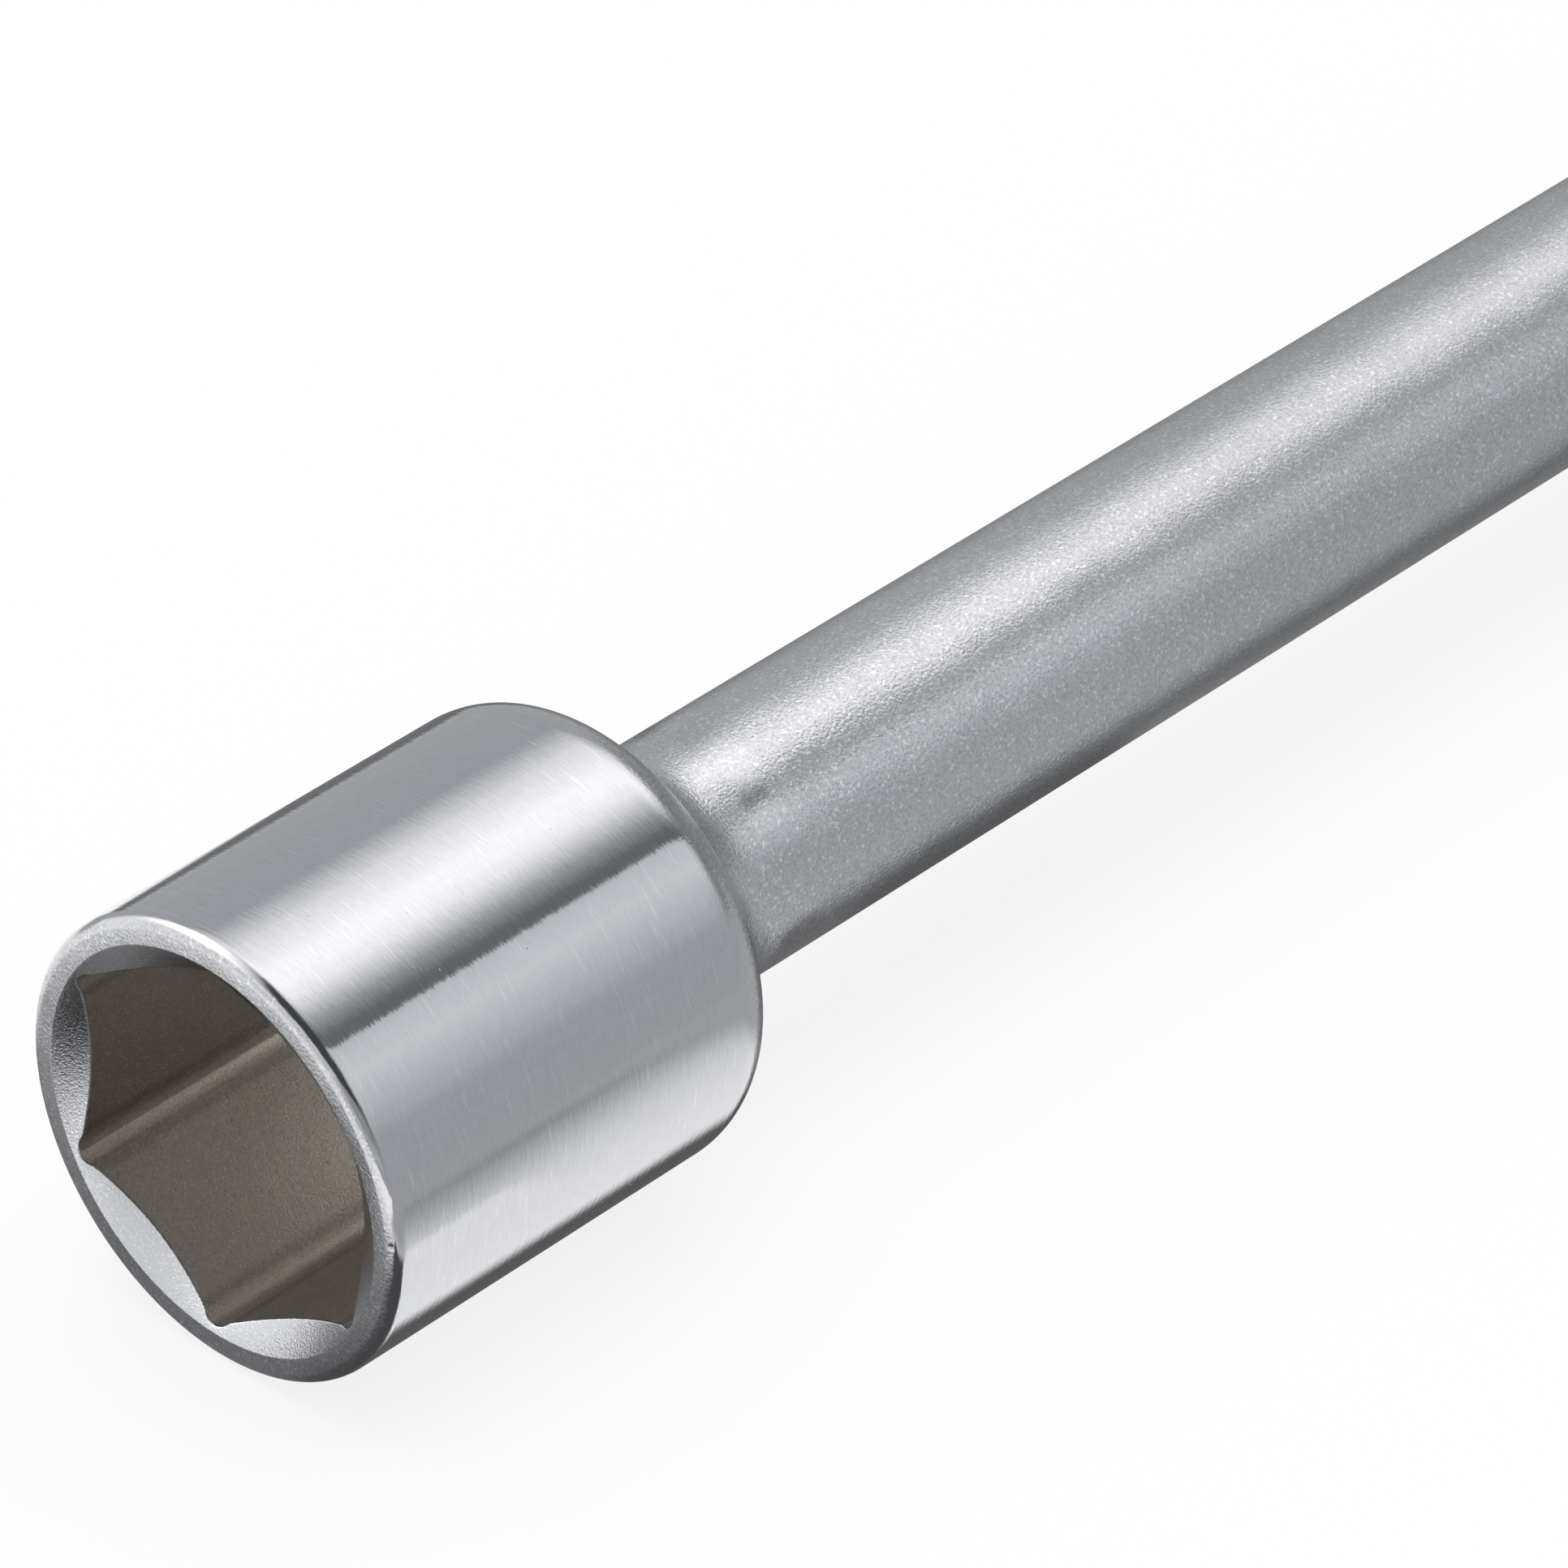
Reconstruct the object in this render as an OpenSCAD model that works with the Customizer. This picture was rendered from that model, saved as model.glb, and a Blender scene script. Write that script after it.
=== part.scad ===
// Sliding T-handle socket wrench.
// The tool lies flat: +X runs from the socket's mouth to the handle, +Y along the bar, +Z up.
// The origin is the centre of the socket's mouth.

/* [Socket] */
// Size of the hexagon that the socket turns, across its flats
hex_size = 13; // [10:0.5:13.5]
// How much wider than that size the socket is cut
hex_play = 0.05; // [0:0.01:0.2]
// Depth of the hexagon from the mouth
hex_depth = 12; // [8:0.5:13]
// Turn of the hexagon about the tool's axis, in degrees
hex_turn = 2.5; // [0:0.5:30]
// Radius of the relief in each corner of the hexagon
corner_relief = 0.7; // [0.5:0.05:0.85]
// How far the relief stays inside the sharp corner
corner_back = 0.03; // [0:0.01:0.08]
// How far the mouth's lead-in cone opens outside the corners
mouth_lead = 0.17; // [0.05:0.01:0.25]
// Angle of the lead-in cone from the tool's axis
mouth_angle = 58; // [45:1:65]
// Width of the ledge between the hexagon and the stud bore behind it
stud_ledge = 1; // [0.5:0.1:2]
// Length of the stud bore behind the hexagon
stud_depth = 5; // [3:0.5:5.5]
// Outer diameter of the barrel
socket_d = 17.5; // [17.5:0.1:22]
// Length of the barrel's straight part
barrel_len = 16.75; // [16:0.25:30]
// Radius of the mouth's outer edge
rim_round = 0.5; // [0.2:0.05:0.6]
// Radius of the barrel's shoulder
shoulder_round = 2.4; // [1.5:0.1:2.8]
// Steepest slope of the shoulder, from the tool's axis
shoulder_angle = 65; // [50:1:72]
// Radius of the hollow neck between shoulder and shank
neck_fillet = 3.75; // [2.5:0.05:5]

/* [Shank] */
// Diameter of the shank
shank_d = 9.4; // [8.4:0.1:10]
// Length of the whole tool, from the mouth to the head's end
overall_len = 280; // [180:5:450]

/* [Head] */
// Diameter of the head
head_d = 17.5; // [17:0.1:20]
// Length of shank inside the head
shank_grip = 11; // [9:0.5:16]
// Wall between the shank's end and the bar's bore
head_web = 2.2; // [1.5:0.1:4]
// Depth of the flats that the bumper rings meet
head_flat = 1.75; // [1.6:0.05:2]
// Room around a washer inside a flat
flat_margin = 0.75; // [0.3:0.05:1.2]
// Radius of the head's end edge
head_round = 1.2; // [0.5:0.1:1.8]
// Width of the ring that the head's shoulder leaves around the shank
collar_lip = 0.9; // [0.4:0.1:1.2]
// Diameter of the pin through head and shank
head_pin_d = 3; // [2:0.1:4]
// Distance of that pin from the head's shoulder end
head_pin_setback = 6.5; // [5:0.5:7.5]

/* [Bar] */
// Diameter of the bar
bar_d = 9; // [8:0.1:9.4]
// Length of the handle over its knobs
bar_span = 180; // [130:2:260]
// Radial clearance of the bar in the head
bar_play = 0.05; // [0.02:0.01:0.1]
// Chamfer at the mouths of the bar's bore
bore_chamfer = 0.35; // [0.1:0.05:0.5]

/* [Knobs] */
// Diameter of a knob
knob_d = 17.5; // [15:0.1:20]
// Length of a knob
knob_len = 16; // [13:0.5:22]
// Solid length of a knob beyond the bar's end
knob_cap = 5; // [4:0.5:7]
// Radius of a knob's rounded outer end
knob_dome = 6; // [3:0.5:7]
// Radius of a knob's inner edge
knob_edge = 1.6; // [0.5:0.1:2.5]
// Diameter of the pin through a knob
knob_pin_d = 2.5; // [1.5:0.1:3]
// Distance of that pin from the knob's inner face
knob_pin_setback = 5.5; // [4:0.5:7]

/* [Pins] */
// How far a pin's ends lie under the surface around them
pin_recess = 0.45; // [0.2:0.05:1]
// Wall thickness of a rolled pin
pin_wall = 0.55; // [0.3:0.05:0.7]
// Width of a rolled pin's slot
pin_slot = 0.4; // [0.2:0.05:0.8]

/* [Stops] */
// Diameter of a stop washer
washer_d = 14; // [12:0.1:14.5]
// Thickness of a stop washer
washer_t = 1.6; // [1:0.1:3]
// Radial clearance of a washer on the bar
washer_play = 0.1; // [0.05:0.01:0.1]
// Thickness of the rubber ring's round section
ring_d = 3; // [2:0.1:3.4]
// How deep a rubber ring sits in the bar
ring_seat = 0.6; // [0.3:0.05:0.9]
// Clearance around a rubber ring in its groove
ring_play = 0.05; // [0.02:0.01:0.1]
// Gap between stop pieces along the bar, and at the end of the bar's travel
stop_gap = 0.3; // [0.2:0.05:0.5]

/* [Detent] */
// Diameter of the ball
ball_d = 4.8; // [4:0.1:5]
// How far the ball drops into a groove
ball_drop = 0.8; // [0.4:0.05:1]
// Clearance of the ball in its pocket and in the grooves
ball_play = 0.1; // [0.05:0.01:0.1]
// Gap between the ball and the plain bar while the ball is pressed back
ride_gap = 0.05; // [0.02:0.01:0.1]
// Wire of the spring
spring_wire = 0.5; // [0.4:0.05:0.55]
// Length of the spring between the wire's centres
spring_len = 4.8; // [4.8:0.1:9]
// Turns of the spring
spring_turns = 5; // [3:0.5:5]
// Clearance between the spring and what it touches
spring_play = 0.1; // [0.05:0.01:0.2]
// Diameter of the set screw
screw_d = 6; // [5.6:0.1:7]
// Length of the set screw
screw_len = 5; // [4:0.5:8]
// How far the set screw lies inside the head's end
screw_recess = 0.5; // [0.3:0.1:1.5]
// Hexagon key of the set screw, across its flats
screw_key = 3; // [2:0.1:3.3]
// Depth of the set screw's key recess
screw_key_depth = 2.5; // [1.5:0.1:3]
// Chamfer of the set screw and of its hole
screw_chamfer = 0.4; // [0.2:0.05:0.6]

/* [Hidden] */
$fn = 96;
past = 0.5; // how far a cut runs past the face it opens
left = -1;  // side of the bar at -Y
right = 1;  // side of the bar at +Y

// Socket
socket_r = socket_d / 2;
flat_r = (hex_size + hex_play) / 2;
corner_r = flat_r / cos(30);
relief_r = corner_r - corner_back - corner_relief; // centre circle of the six reliefs
mouth_r = corner_r + mouth_lead;
stud_r = hex_size / 2 - stud_ledge;
drill_angle = 59; // half the point angle of the drill that opened the blank
stud_tip = stud_r / tan(drill_angle);

// Shoulder and neck, as points where each curve ends
shank_r = shank_d / 2;
shoulder_end_r = socket_r - shoulder_round * (1 - cos(shoulder_angle));
shoulder_end_x = barrel_len + shoulder_round * sin(shoulder_angle);
neck_start_r = shank_r + neck_fillet * (1 - cos(shoulder_angle));
neck_start_x = shoulder_end_x + (shoulder_end_r - neck_start_r) / tan(shoulder_angle);
neck_end_x = neck_start_x + neck_fillet * sin(shoulder_angle);

// Detent, from the bar's axis out to the head's end
bar_r = bar_d / 2;
ball_r = ball_d / 2;
pocket_r = ball_r + ball_play;
wire_r = spring_wire / 2;
coil_r = pocket_r - spring_play - wire_r; // centre line of the spring's wire
ball_offset = bar_r + ride_gap + ball_r;
spring_seat = sqrt(pow(ball_r + wire_r + spring_play, 2) - pow(coil_r, 2));
screw_offset = ball_offset + spring_seat + spring_len + wire_r + spring_play;
bar_x = overall_len - screw_recess - screw_len - screw_offset;
ball_x = bar_x + ball_offset;
spring_x = ball_x + spring_seat;
screw_x = bar_x + screw_offset;
screw_r = screw_d / 2;

// Head
head_r = head_d / 2;
bar_bore_r = bar_r + bar_play;
shank_end = bar_x - bar_bore_r - head_web;
head_x = shank_end - shank_grip;
head_flat_y = head_r - head_flat;
head_lip_r = shank_r + collar_lip;
head_cone = head_r - shoulder_round * (1 - cos(shoulder_angle)) - head_lip_r;
head_land_x = head_x + head_cone / tan(shoulder_angle) + shoulder_round * sin(shoulder_angle);
head_pin_x = head_x + head_pin_setback;

// Bar and what it carries, measured from the tool's axis along the bar
knob_r = knob_d / 2;
knob_y = bar_span / 2 - knob_len;
bar_end_y = bar_span / 2 - knob_cap;
washer_y = knob_y - stop_gap - washer_t;
ring_r = ring_d / 2;
ring_circle = bar_r + ring_r - ring_seat;
ring_y = washer_y - stop_gap - ring_r;
travel = ring_y - ring_r - stop_gap - head_flat_y;
groove_circle = bar_r + ride_gap + ball_r - ball_drop;
flat_spot_r = washer_d / 2 + flat_margin;

// The spring's wire: ring points along a helix, with straight ends one wire thick
wire_sides = 6;
curl_rings = 8;
coil_rings = ceil(spring_turns * curl_rings);
coil_rise = spring_len / spring_turns / 360; // along the axis, per degree of turn

function helix(turn) = [coil_r * cos(turn), coil_r * sin(turn), turn * coil_rise];
function helix_way(turn) = let (v = [-coil_r * sin(turn), coil_r * cos(turn), coil_rise * 180 / PI]) v / norm(v);
function wire_ring(centre, turn) = [
  for (side = [0 : wire_sides - 1])
    let (
      out = [cos(turn), sin(turn), 0],
      up = cross(helix_way(turn), out),
      a = side * 360 / wire_sides
    )
    centre + wire_r * (out * cos(a) + up * sin(a))
];
last_turn = spring_turns * 360;
wire_rings = concat(
  [wire_ring(helix(0) - helix_way(0) * spring_wire, 0)],
  [for (i = [0 : coil_rings]) wire_ring(helix(i * last_turn / coil_rings), i * last_turn / coil_rings)],
  [wire_ring(helix(last_turn) + helix_way(last_turn) * spring_wire, last_turn)]
);

// Least distance between the wire and its own next turn, measured on points of the centre line
measure_step = 15;
spring_least_gap = min([
  for (a = [0 : measure_step : last_turn - 180])
    for (b = [a + 180 : measure_step : last_turn])
      norm(helix(a) - helix(b))
]) - spring_wire;
echo(spring_least_gap = spring_least_gap);

module along_x() {
  rotate([0, 90, 0]) children();
}

module along_y(side = 1) {
  rotate([-90 * side, 0, 0]) children();
}

// One tube through a list of equal rings of points, closed at both ends
module tube_through(rings) {
  sides = len(rings[0]);
  last = len(rings) - 1;
  walls = [
    for (i = [0 : last - 1])
      for (j = [0 : sides - 1])
        let (a = i * sides + j, b = i * sides + (j + 1) % sides)
        each [[a, b, b + sides], [a, b + sides, a + sides]]
  ];
  start = [for (j = [1 : sides - 2]) [0, j + 1, j]];
  end = [for (j = [1 : sides - 2]) [last * sides, last * sides + j, last * sides + j + 1]];
  points = [for (ring = rings) each ring];
  polyhedron(points = points, faces = concat(walls, start, end));
}

// The barrel's outline and the shank's, as radius and distance from the mouth
module forging_outline() {
  difference() {
    union() {
      polygon([
        [0, 0],
        [socket_r - rim_round, 0],
        [socket_r, rim_round],
        [socket_r, barrel_len],
        [shoulder_end_r, shoulder_end_x],
        [neck_start_r, neck_start_x],
        [shank_r, neck_end_x],
        [shank_r, shank_end],
        [0, shank_end]
      ]);
      translate([socket_r - rim_round, rim_round]) circle(r = rim_round);
      translate([socket_r - shoulder_round, barrel_len]) circle(r = shoulder_round);
    }
    translate([shank_r + neck_fillet, neck_end_x]) circle(r = neck_fillet);
  }
}

// Everything that is cut out of the socket, from the mouth inwards
module socket_cavity() {
  mouth_end = past / tan(90 - mouth_angle); // the cone's growth over the cut's run past the mouth
  cone_len = mouth_r / tan(mouth_angle);
  translate([0, 0, -past]) {
    cylinder(h = past + cone_len, r1 = mouth_r + mouth_end, r2 = 0);
    intersection() {
      rotate(hex_turn) cylinder(h = past + hex_depth, r = corner_r, $fn = 6);
      cylinder(h = past + hex_depth, r = norm([flat_r, relief_r * sin(30)]));
    }
    for (corner = [0 : 5])
      rotate(hex_turn + corner * 60)
        translate([relief_r, 0, 0]) cylinder(h = past + hex_depth, r = corner_relief);
    cylinder(h = past + hex_depth + stud_depth, r = stud_r);
  }
  translate([0, 0, hex_depth + stud_depth]) cylinder(h = stud_tip, r1 = stud_r, r2 = 0);
}

// A hole through something round, for a pin that lies along Z
module pin_hole(pin_d, through_d) {
  cylinder(h = through_d + 2 * past, d = pin_d, center = true);
}

// A rolled pin along Z: a slotted tube, its ends just under a round surface of through_d
module rolled_pin(pin_d, through_d) {
  pin_len = through_d - 2 * pin_recess;
  difference() {
    cylinder(h = pin_len, d = pin_d, center = true);
    cylinder(h = pin_len + 2 * past, d = pin_d - 2 * pin_wall, center = true);
    translate([0, -pin_slot / 2, -pin_len / 2 - past]) cube([pin_d, pin_slot, pin_len + 2 * past]);
  }
}

module socket_shank() {
  color("silver")
    difference() {
      along_x() rotate_extrude() forging_outline();
      along_x() socket_cavity();
      translate([head_pin_x, 0, 0]) pin_hole(head_pin_d, shank_d);
    }
}

// The head's outline, as radius and place along the tool
module head_outline() {
  polygon([
    [0, head_x],
    [head_lip_r, head_x],
    [head_lip_r + head_cone, head_x + head_cone / tan(shoulder_angle)],
    [head_r, head_land_x],
    [head_r, overall_len - head_round],
    [head_r - head_round, overall_len],
    [0, overall_len]
  ]);
  translate([head_r - shoulder_round, head_land_x]) circle(r = shoulder_round);
  translate([head_r - head_round, overall_len - head_round]) circle(r = head_round);
}

// The bar's bore, along Y from the tool's axis to one side, with the flat that the bumper ring meets
module bar_bore_half(side) {
  along_y(side) {
    translate([0, 0, -past]) cylinder(h = head_r + 2 * past, r = bar_bore_r);
    translate([0, 0, head_flat_y]) cylinder(h = head_flat + past, r = flat_spot_r);
    translate([0, 0, head_flat_y - bore_chamfer])
      cylinder(h = bore_chamfer, r1 = bar_bore_r, r2 = bar_bore_r + bore_chamfer);
  }
}

module bar_head() {
  color("gainsboro")
    difference() {
      along_x() rotate_extrude() head_outline();
      along_x() translate([0, 0, head_x - past]) cylinder(h = shank_end - head_x + past, r = shank_r);
      translate([bar_x, 0, 0]) {
        bar_bore_half(left);
        bar_bore_half(right);
      }
      along_x() {
        translate([0, 0, bar_x]) cylinder(h = screw_offset, r = pocket_r);
        translate([0, 0, screw_x]) cylinder(h = screw_len + screw_recess + past, r = screw_r);
        translate([0, 0, overall_len - screw_chamfer])
          cylinder(h = screw_chamfer + past, r1 = screw_r, r2 = screw_r + screw_chamfer + past);
      }
      translate([head_pin_x, 0, 0]) pin_hole(head_pin_d, head_d);
    }
}

module head_pin() {
  color("dimgray") translate([head_pin_x, 0, 0]) rolled_pin(head_pin_d, head_d);
}

// A groove all round the bar with a round section, at y along it
module bar_groove(y, circle_r, section_r) {
  translate([bar_x, y, 0]) along_y() rotate_extrude() translate([circle_r, 0]) circle(r = section_r);
}

module cross_bar() {
  color("silver")
    difference() {
      translate([bar_x, -bar_end_y, 0]) along_y() cylinder(h = 2 * bar_end_y, r = bar_r);
      for (y = [-travel, 0, travel]) bar_groove(y, groove_circle, pocket_r);
      for (side = [left, right]) {
        bar_groove(side * ring_y, ring_circle, ring_r + ring_play);
        translate([bar_x, side * (knob_y + knob_pin_setback), 0]) pin_hole(knob_pin_d, bar_d);
      }
    }
}

module detent_ball() {
  color("lightsteelblue") translate([ball_x, 0, 0]) sphere(d = ball_d);
}

module detent_spring() {
  color("slategray") translate([spring_x, 0, 0]) along_x() tube_through(wire_rings);
}

module detent_screw() {
  color("dimgray")
    translate([screw_x, 0, 0]) along_x() difference() {
      union() {
        cylinder(h = screw_chamfer, r1 = screw_r - screw_chamfer, r2 = screw_r);
        translate([0, 0, screw_chamfer]) cylinder(h = screw_len - 2 * screw_chamfer, r = screw_r);
        translate([0, 0, screw_len - screw_chamfer])
          cylinder(h = screw_chamfer, r1 = screw_r, r2 = screw_r - screw_chamfer);
      }
      translate([0, 0, screw_len - screw_key_depth])
        cylinder(h = screw_key_depth + past, d = screw_key / cos(30), $fn = 6);
    }
}

// A knob's outline, as radius and distance from its inner face
module knob_outline() {
  intersection() {
    union() {
      polygon([
        [0, 0],
        [knob_r - knob_edge, 0],
        [knob_r, knob_edge],
        [knob_r, knob_len - knob_dome],
        [knob_r - knob_dome, knob_len],
        [0, knob_len]
      ]);
      translate([knob_r - knob_edge, knob_edge]) circle(r = knob_edge);
      translate([knob_r - knob_dome, knob_len - knob_dome]) circle(r = knob_dome);
    }
    square([knob_r, knob_len]);
  }
}

module knob(side) {
  difference() {
    translate([bar_x, side * knob_y, 0]) along_y(side) difference() {
      rotate_extrude() knob_outline();
      translate([0, 0, -past]) cylinder(h = past + knob_len - knob_cap, r = bar_r);
    }
    translate([bar_x, side * (knob_y + knob_pin_setback), 0]) pin_hole(knob_pin_d, knob_d);
  }
}

module knob_pin(side) {
  translate([bar_x, side * (knob_y + knob_pin_setback), 0]) rolled_pin(knob_pin_d, knob_d);
}

module washer(side) {
  translate([bar_x, side * washer_y, 0]) along_y(side) difference() {
    cylinder(h = washer_t, d = washer_d);
    translate([0, 0, -past]) cylinder(h = washer_t + 2 * past, r = bar_r + washer_play);
  }
}

module bumper_ring(side) {
  translate([bar_x, side * ring_y, 0]) along_y() rotate_extrude() translate([ring_circle, 0]) circle(r = ring_r);
}

module left_knob() {
  color("gainsboro") knob(left);
}

module right_knob() {
  color("gainsboro") knob(right);
}

module left_knob_pin() {
  color("dimgray") knob_pin(left);
}

module right_knob_pin() {
  color("dimgray") knob_pin(right);
}

module left_washer() {
  color("silver") washer(left);
}

module right_washer() {
  color("silver") washer(right);
}

module left_bumper_ring() {
  color("black") bumper_ring(left);
}

module right_bumper_ring() {
  color("black") bumper_ring(right);
}

socket_shank();
bar_head();
head_pin();
cross_bar();
detent_ball();
detent_spring();
detent_screw();
left_knob();
right_knob();
left_knob_pin();
right_knob_pin();
left_washer();
right_washer();
left_bumper_ring();
right_bumper_ring();
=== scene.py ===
# A socket wrench with a sliding T-handle, lying on a pale table and seen close from the socket's end.
import math
import bmesh
import bpy
from mathutils import Matrix, Vector


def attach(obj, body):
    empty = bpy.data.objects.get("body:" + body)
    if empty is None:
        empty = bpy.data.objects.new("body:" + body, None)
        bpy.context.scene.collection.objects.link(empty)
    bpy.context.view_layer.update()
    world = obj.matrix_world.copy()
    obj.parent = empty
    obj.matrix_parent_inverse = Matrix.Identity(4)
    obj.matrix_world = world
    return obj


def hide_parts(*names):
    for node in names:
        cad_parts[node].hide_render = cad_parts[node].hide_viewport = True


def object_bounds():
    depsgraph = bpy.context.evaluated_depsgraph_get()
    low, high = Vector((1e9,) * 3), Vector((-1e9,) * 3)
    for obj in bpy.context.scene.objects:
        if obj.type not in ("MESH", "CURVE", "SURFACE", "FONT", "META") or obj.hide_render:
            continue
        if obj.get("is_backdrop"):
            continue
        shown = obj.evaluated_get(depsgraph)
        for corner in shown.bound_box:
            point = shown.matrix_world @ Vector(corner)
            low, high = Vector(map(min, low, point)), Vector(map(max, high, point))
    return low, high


mm = 0.001  # the scene is in metres, and the sizes below are in millimetres

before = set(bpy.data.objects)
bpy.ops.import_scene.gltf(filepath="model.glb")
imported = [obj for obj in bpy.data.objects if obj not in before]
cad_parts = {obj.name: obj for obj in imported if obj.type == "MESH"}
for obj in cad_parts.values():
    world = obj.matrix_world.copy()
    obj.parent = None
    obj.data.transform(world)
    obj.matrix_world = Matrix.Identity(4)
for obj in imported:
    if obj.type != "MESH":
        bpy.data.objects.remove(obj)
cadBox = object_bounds()
print("frame loaded, nodes:", len(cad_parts))


# Colours and node patterns

def linear(hexColour):
    # an sRGB hex colour as linear RGBA
    channels = [int(hexColour[i:i + 2], 16) / 255 for i in (1, 3, 5)]
    return [c / 12.92 if c <= 0.04045 else ((c + 0.055) / 1.055) ** 2.4 for c in channels] + [1.0]


def nodeAdder(tree):
    # empties the tree and gives a function that adds one node to it, with its settings and links
    tree.nodes.clear()

    def add(kind, inputs=None, **settings):
        # an input is a value, a socket, or a node whose first output is meant
        made = tree.nodes.new("ShaderNode" + kind)
        for name, value in settings.items():
            setattr(made, name, value)
        for name, value in (inputs or {}).items():
            if isinstance(value, bpy.types.Node):
                value = value.outputs[0]
            if isinstance(value, bpy.types.NodeSocket):
                tree.links.new(value, made.inputs[name])
            else:
                made.inputs[name].default_value = value
        made.location = (len(tree.nodes) % 12 * 190, len(tree.nodes) // 12 * -260)
        return made
    return add


def startMaterial(name):
    # gives a material, its node adder and the place on the piece by which its patterns are drawn
    material = bpy.data.materials.new(name)
    material.use_nodes = True
    add = nodeAdder(material.node_tree)
    return material, add, add("TexCoord").outputs["Object"]


def finishMaterial(add, colour, rough, normal, **inputs):
    # a metal, unless the last inputs say otherwise
    shader = add("BsdfPrincipled", {
        "Base Color": colour, "Metallic": 1.0, "Roughness": rough, "Normal": normal, **inputs,
    })
    add("OutputMaterial", {"Surface": shader})


def unevenFinish(add, colour, normal, pattern, roughness, spread, low=0.3, high=0.7, **inputs):
    # a finish whose roughness follows a pattern: times the spread's first share where the pattern
    # is low, and times its second where it is high
    rough = add("MapRange", {
        "Value": pattern, "From Min": low, "From Max": high,
        "To Min": roughness * spread[0], "To Max": roughness * spread[1],
    })
    finishMaterial(add, colour, rough, normal, **inputs)


def paintedGlintCells(add, spot, glintFlecks, rise=0.03):
    # painted glints: a shade that is 1 in most cells and brighter in a few; the cells have a width along X
    # and a length along Y and Z
    width, length, plainShare, brightness = glintFlecks
    space = add("Mapping", {
        "Vector": spot, "Scale": [1 / (size * mm) for size in (width, length, length)],
    })
    cells = add("TexVoronoi", {"Vector": space, "Scale": 1.0})
    pick = add("SeparateColor", {"Color": cells.outputs["Color"]})
    return add("MapRange", {
        "Value": pick.outputs["Red"], "From Min": plainShare, "From Max": plainShare + rise,
        "To Min": 1.0, "To Max": brightness,
    })


def noiseAndBump(add, spot, sizes, depth, detail, roughness=0.5, below=None):
    # noise whose grains have these sizes along X, Y and Z, and its bump of that depth, in mm, which
    # lies over the bump below
    space = add("Mapping", {"Vector": spot, "Scale": [1 / (size * mm) for size in sizes]})
    noise = add("TexNoise", {"Vector": space, "Scale": 1.0, "Detail": detail, "Roughness": roughness})
    under = {"Normal": below} if below else {}
    return noise, add("Bump", {"Height": noise, "Distance": depth * mm, "Strength": 1, **under})


def patchyColour(add, pattern, fromValue, toValue, colour, patchColour, most=1.0):
    # a colour with patches of another where the pattern rises from one value to the other
    share = add("MapRange", {"Value": pattern, "From Min": fromValue, "From Max": toValue, "To Max": most})
    return add("Mix", {
        "Factor": share, 6: linear(colour), 7: linear(patchColour),
    }, data_type="RGBA").outputs[2]


def band(add, value, middle, whole, gone, inside=1.0, outside=0.0, blend="SMOOTHSTEP"):
    # inside up to the distance whole from the middle, outside from the distance gone on
    offset = add("Math", {0: value, 1: middle}, operation="SUBTRACT")
    away = add("Math", {0: offset}, operation="ABSOLUTE")
    return add("MapRange", {
        "Value": away, "From Min": whole, "From Max": gone, "To Min": inside, "To Max": outside,
    }, interpolation_type=blend)


def product(add, *factors):
    # all the factors multiplied
    result = factors[0]
    for factor in factors[1:]:
        result = add("Math", {0: result, 1: factor}, operation="MULTIPLY")
    return result


def shaded(add, colour, *shades, **settings):
    # a colour times all the shades
    return add("Mix", {
        "Factor": 1.0, 6: colour, 7: product(add, *shades),
    }, data_type="RGBA", blend_type="MULTIPLY", **settings).outputs[2]


def distanceFromAxis(add, spot):
    flat = add("VectorMath", {0: spot, 1: (0, 1, 1)}, operation="MULTIPLY")
    return add("VectorMath", {0: flat}, operation="LENGTH").outputs["Value"]


def shadedByLines(add, colour, lines, amount):
    # a colour that fine lines make lighter and darker by that share
    shade = add("MapRange", {
        "Value": lines, "From Min": 0.25, "From Max": 0.75, "To Min": 1 - amount, "To Max": 1 + amount,
    })
    return shaded(add, linear(colour), shade)


# Mesh building

def rounded(corners, steps=6):
    # corners are (along, radius, fillet); gives (along, radius) points with each fillet as an arc
    points = []
    for i, (x, r, fillet) in enumerate(corners):
        if fillet == 0:
            points.append((x, r))
            continue
        here = Vector((x, r))
        back = (Vector(corners[i - 1][:2]) - here).normalized()
        ahead = (Vector(corners[(i + 1) % len(corners)][:2]) - here).normalized()
        half = back.angle(ahead) / 2
        reach = fillet / math.tan(half)
        centre = here + (back + ahead).normalized() * fillet / math.sin(half)
        start = here + back * reach - centre
        turn = start.angle_signed(here + ahead * reach - centre)
        for step in range(steps + 1):
            points.append(tuple(centre + Matrix.Rotation(-turn * step / steps, 2) @ start))
    return points


def arc(centreX, centreR, radius, startAngle, endAngle, steps):
    # points on a circle, angles in degrees from the axis direction
    angles = [math.radians(startAngle + (endAngle - startAngle) * i / steps) for i in range(steps + 1)]
    return [(centreX + radius * math.cos(a), centreR + radius * math.sin(a)) for a in angles]


def makePiece(name, vertices, faces, materials, zones=None, crease=28):
    # one mesh object, in mm; edges that turn more than crease degrees stay sharp
    mesh = bpy.data.meshes.new(name)
    mesh.from_pydata([Vector(v) * mm for v in vertices], [], faces)
    for material in materials:
        mesh.materials.append(material)
    if zones:
        mesh.polygons.foreach_set("material_index", zones)
    piece = bpy.data.objects.new(name, mesh)
    bpy.context.scene.collection.objects.link(piece)
    tidyMesh(piece, crease)
    return piece


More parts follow.
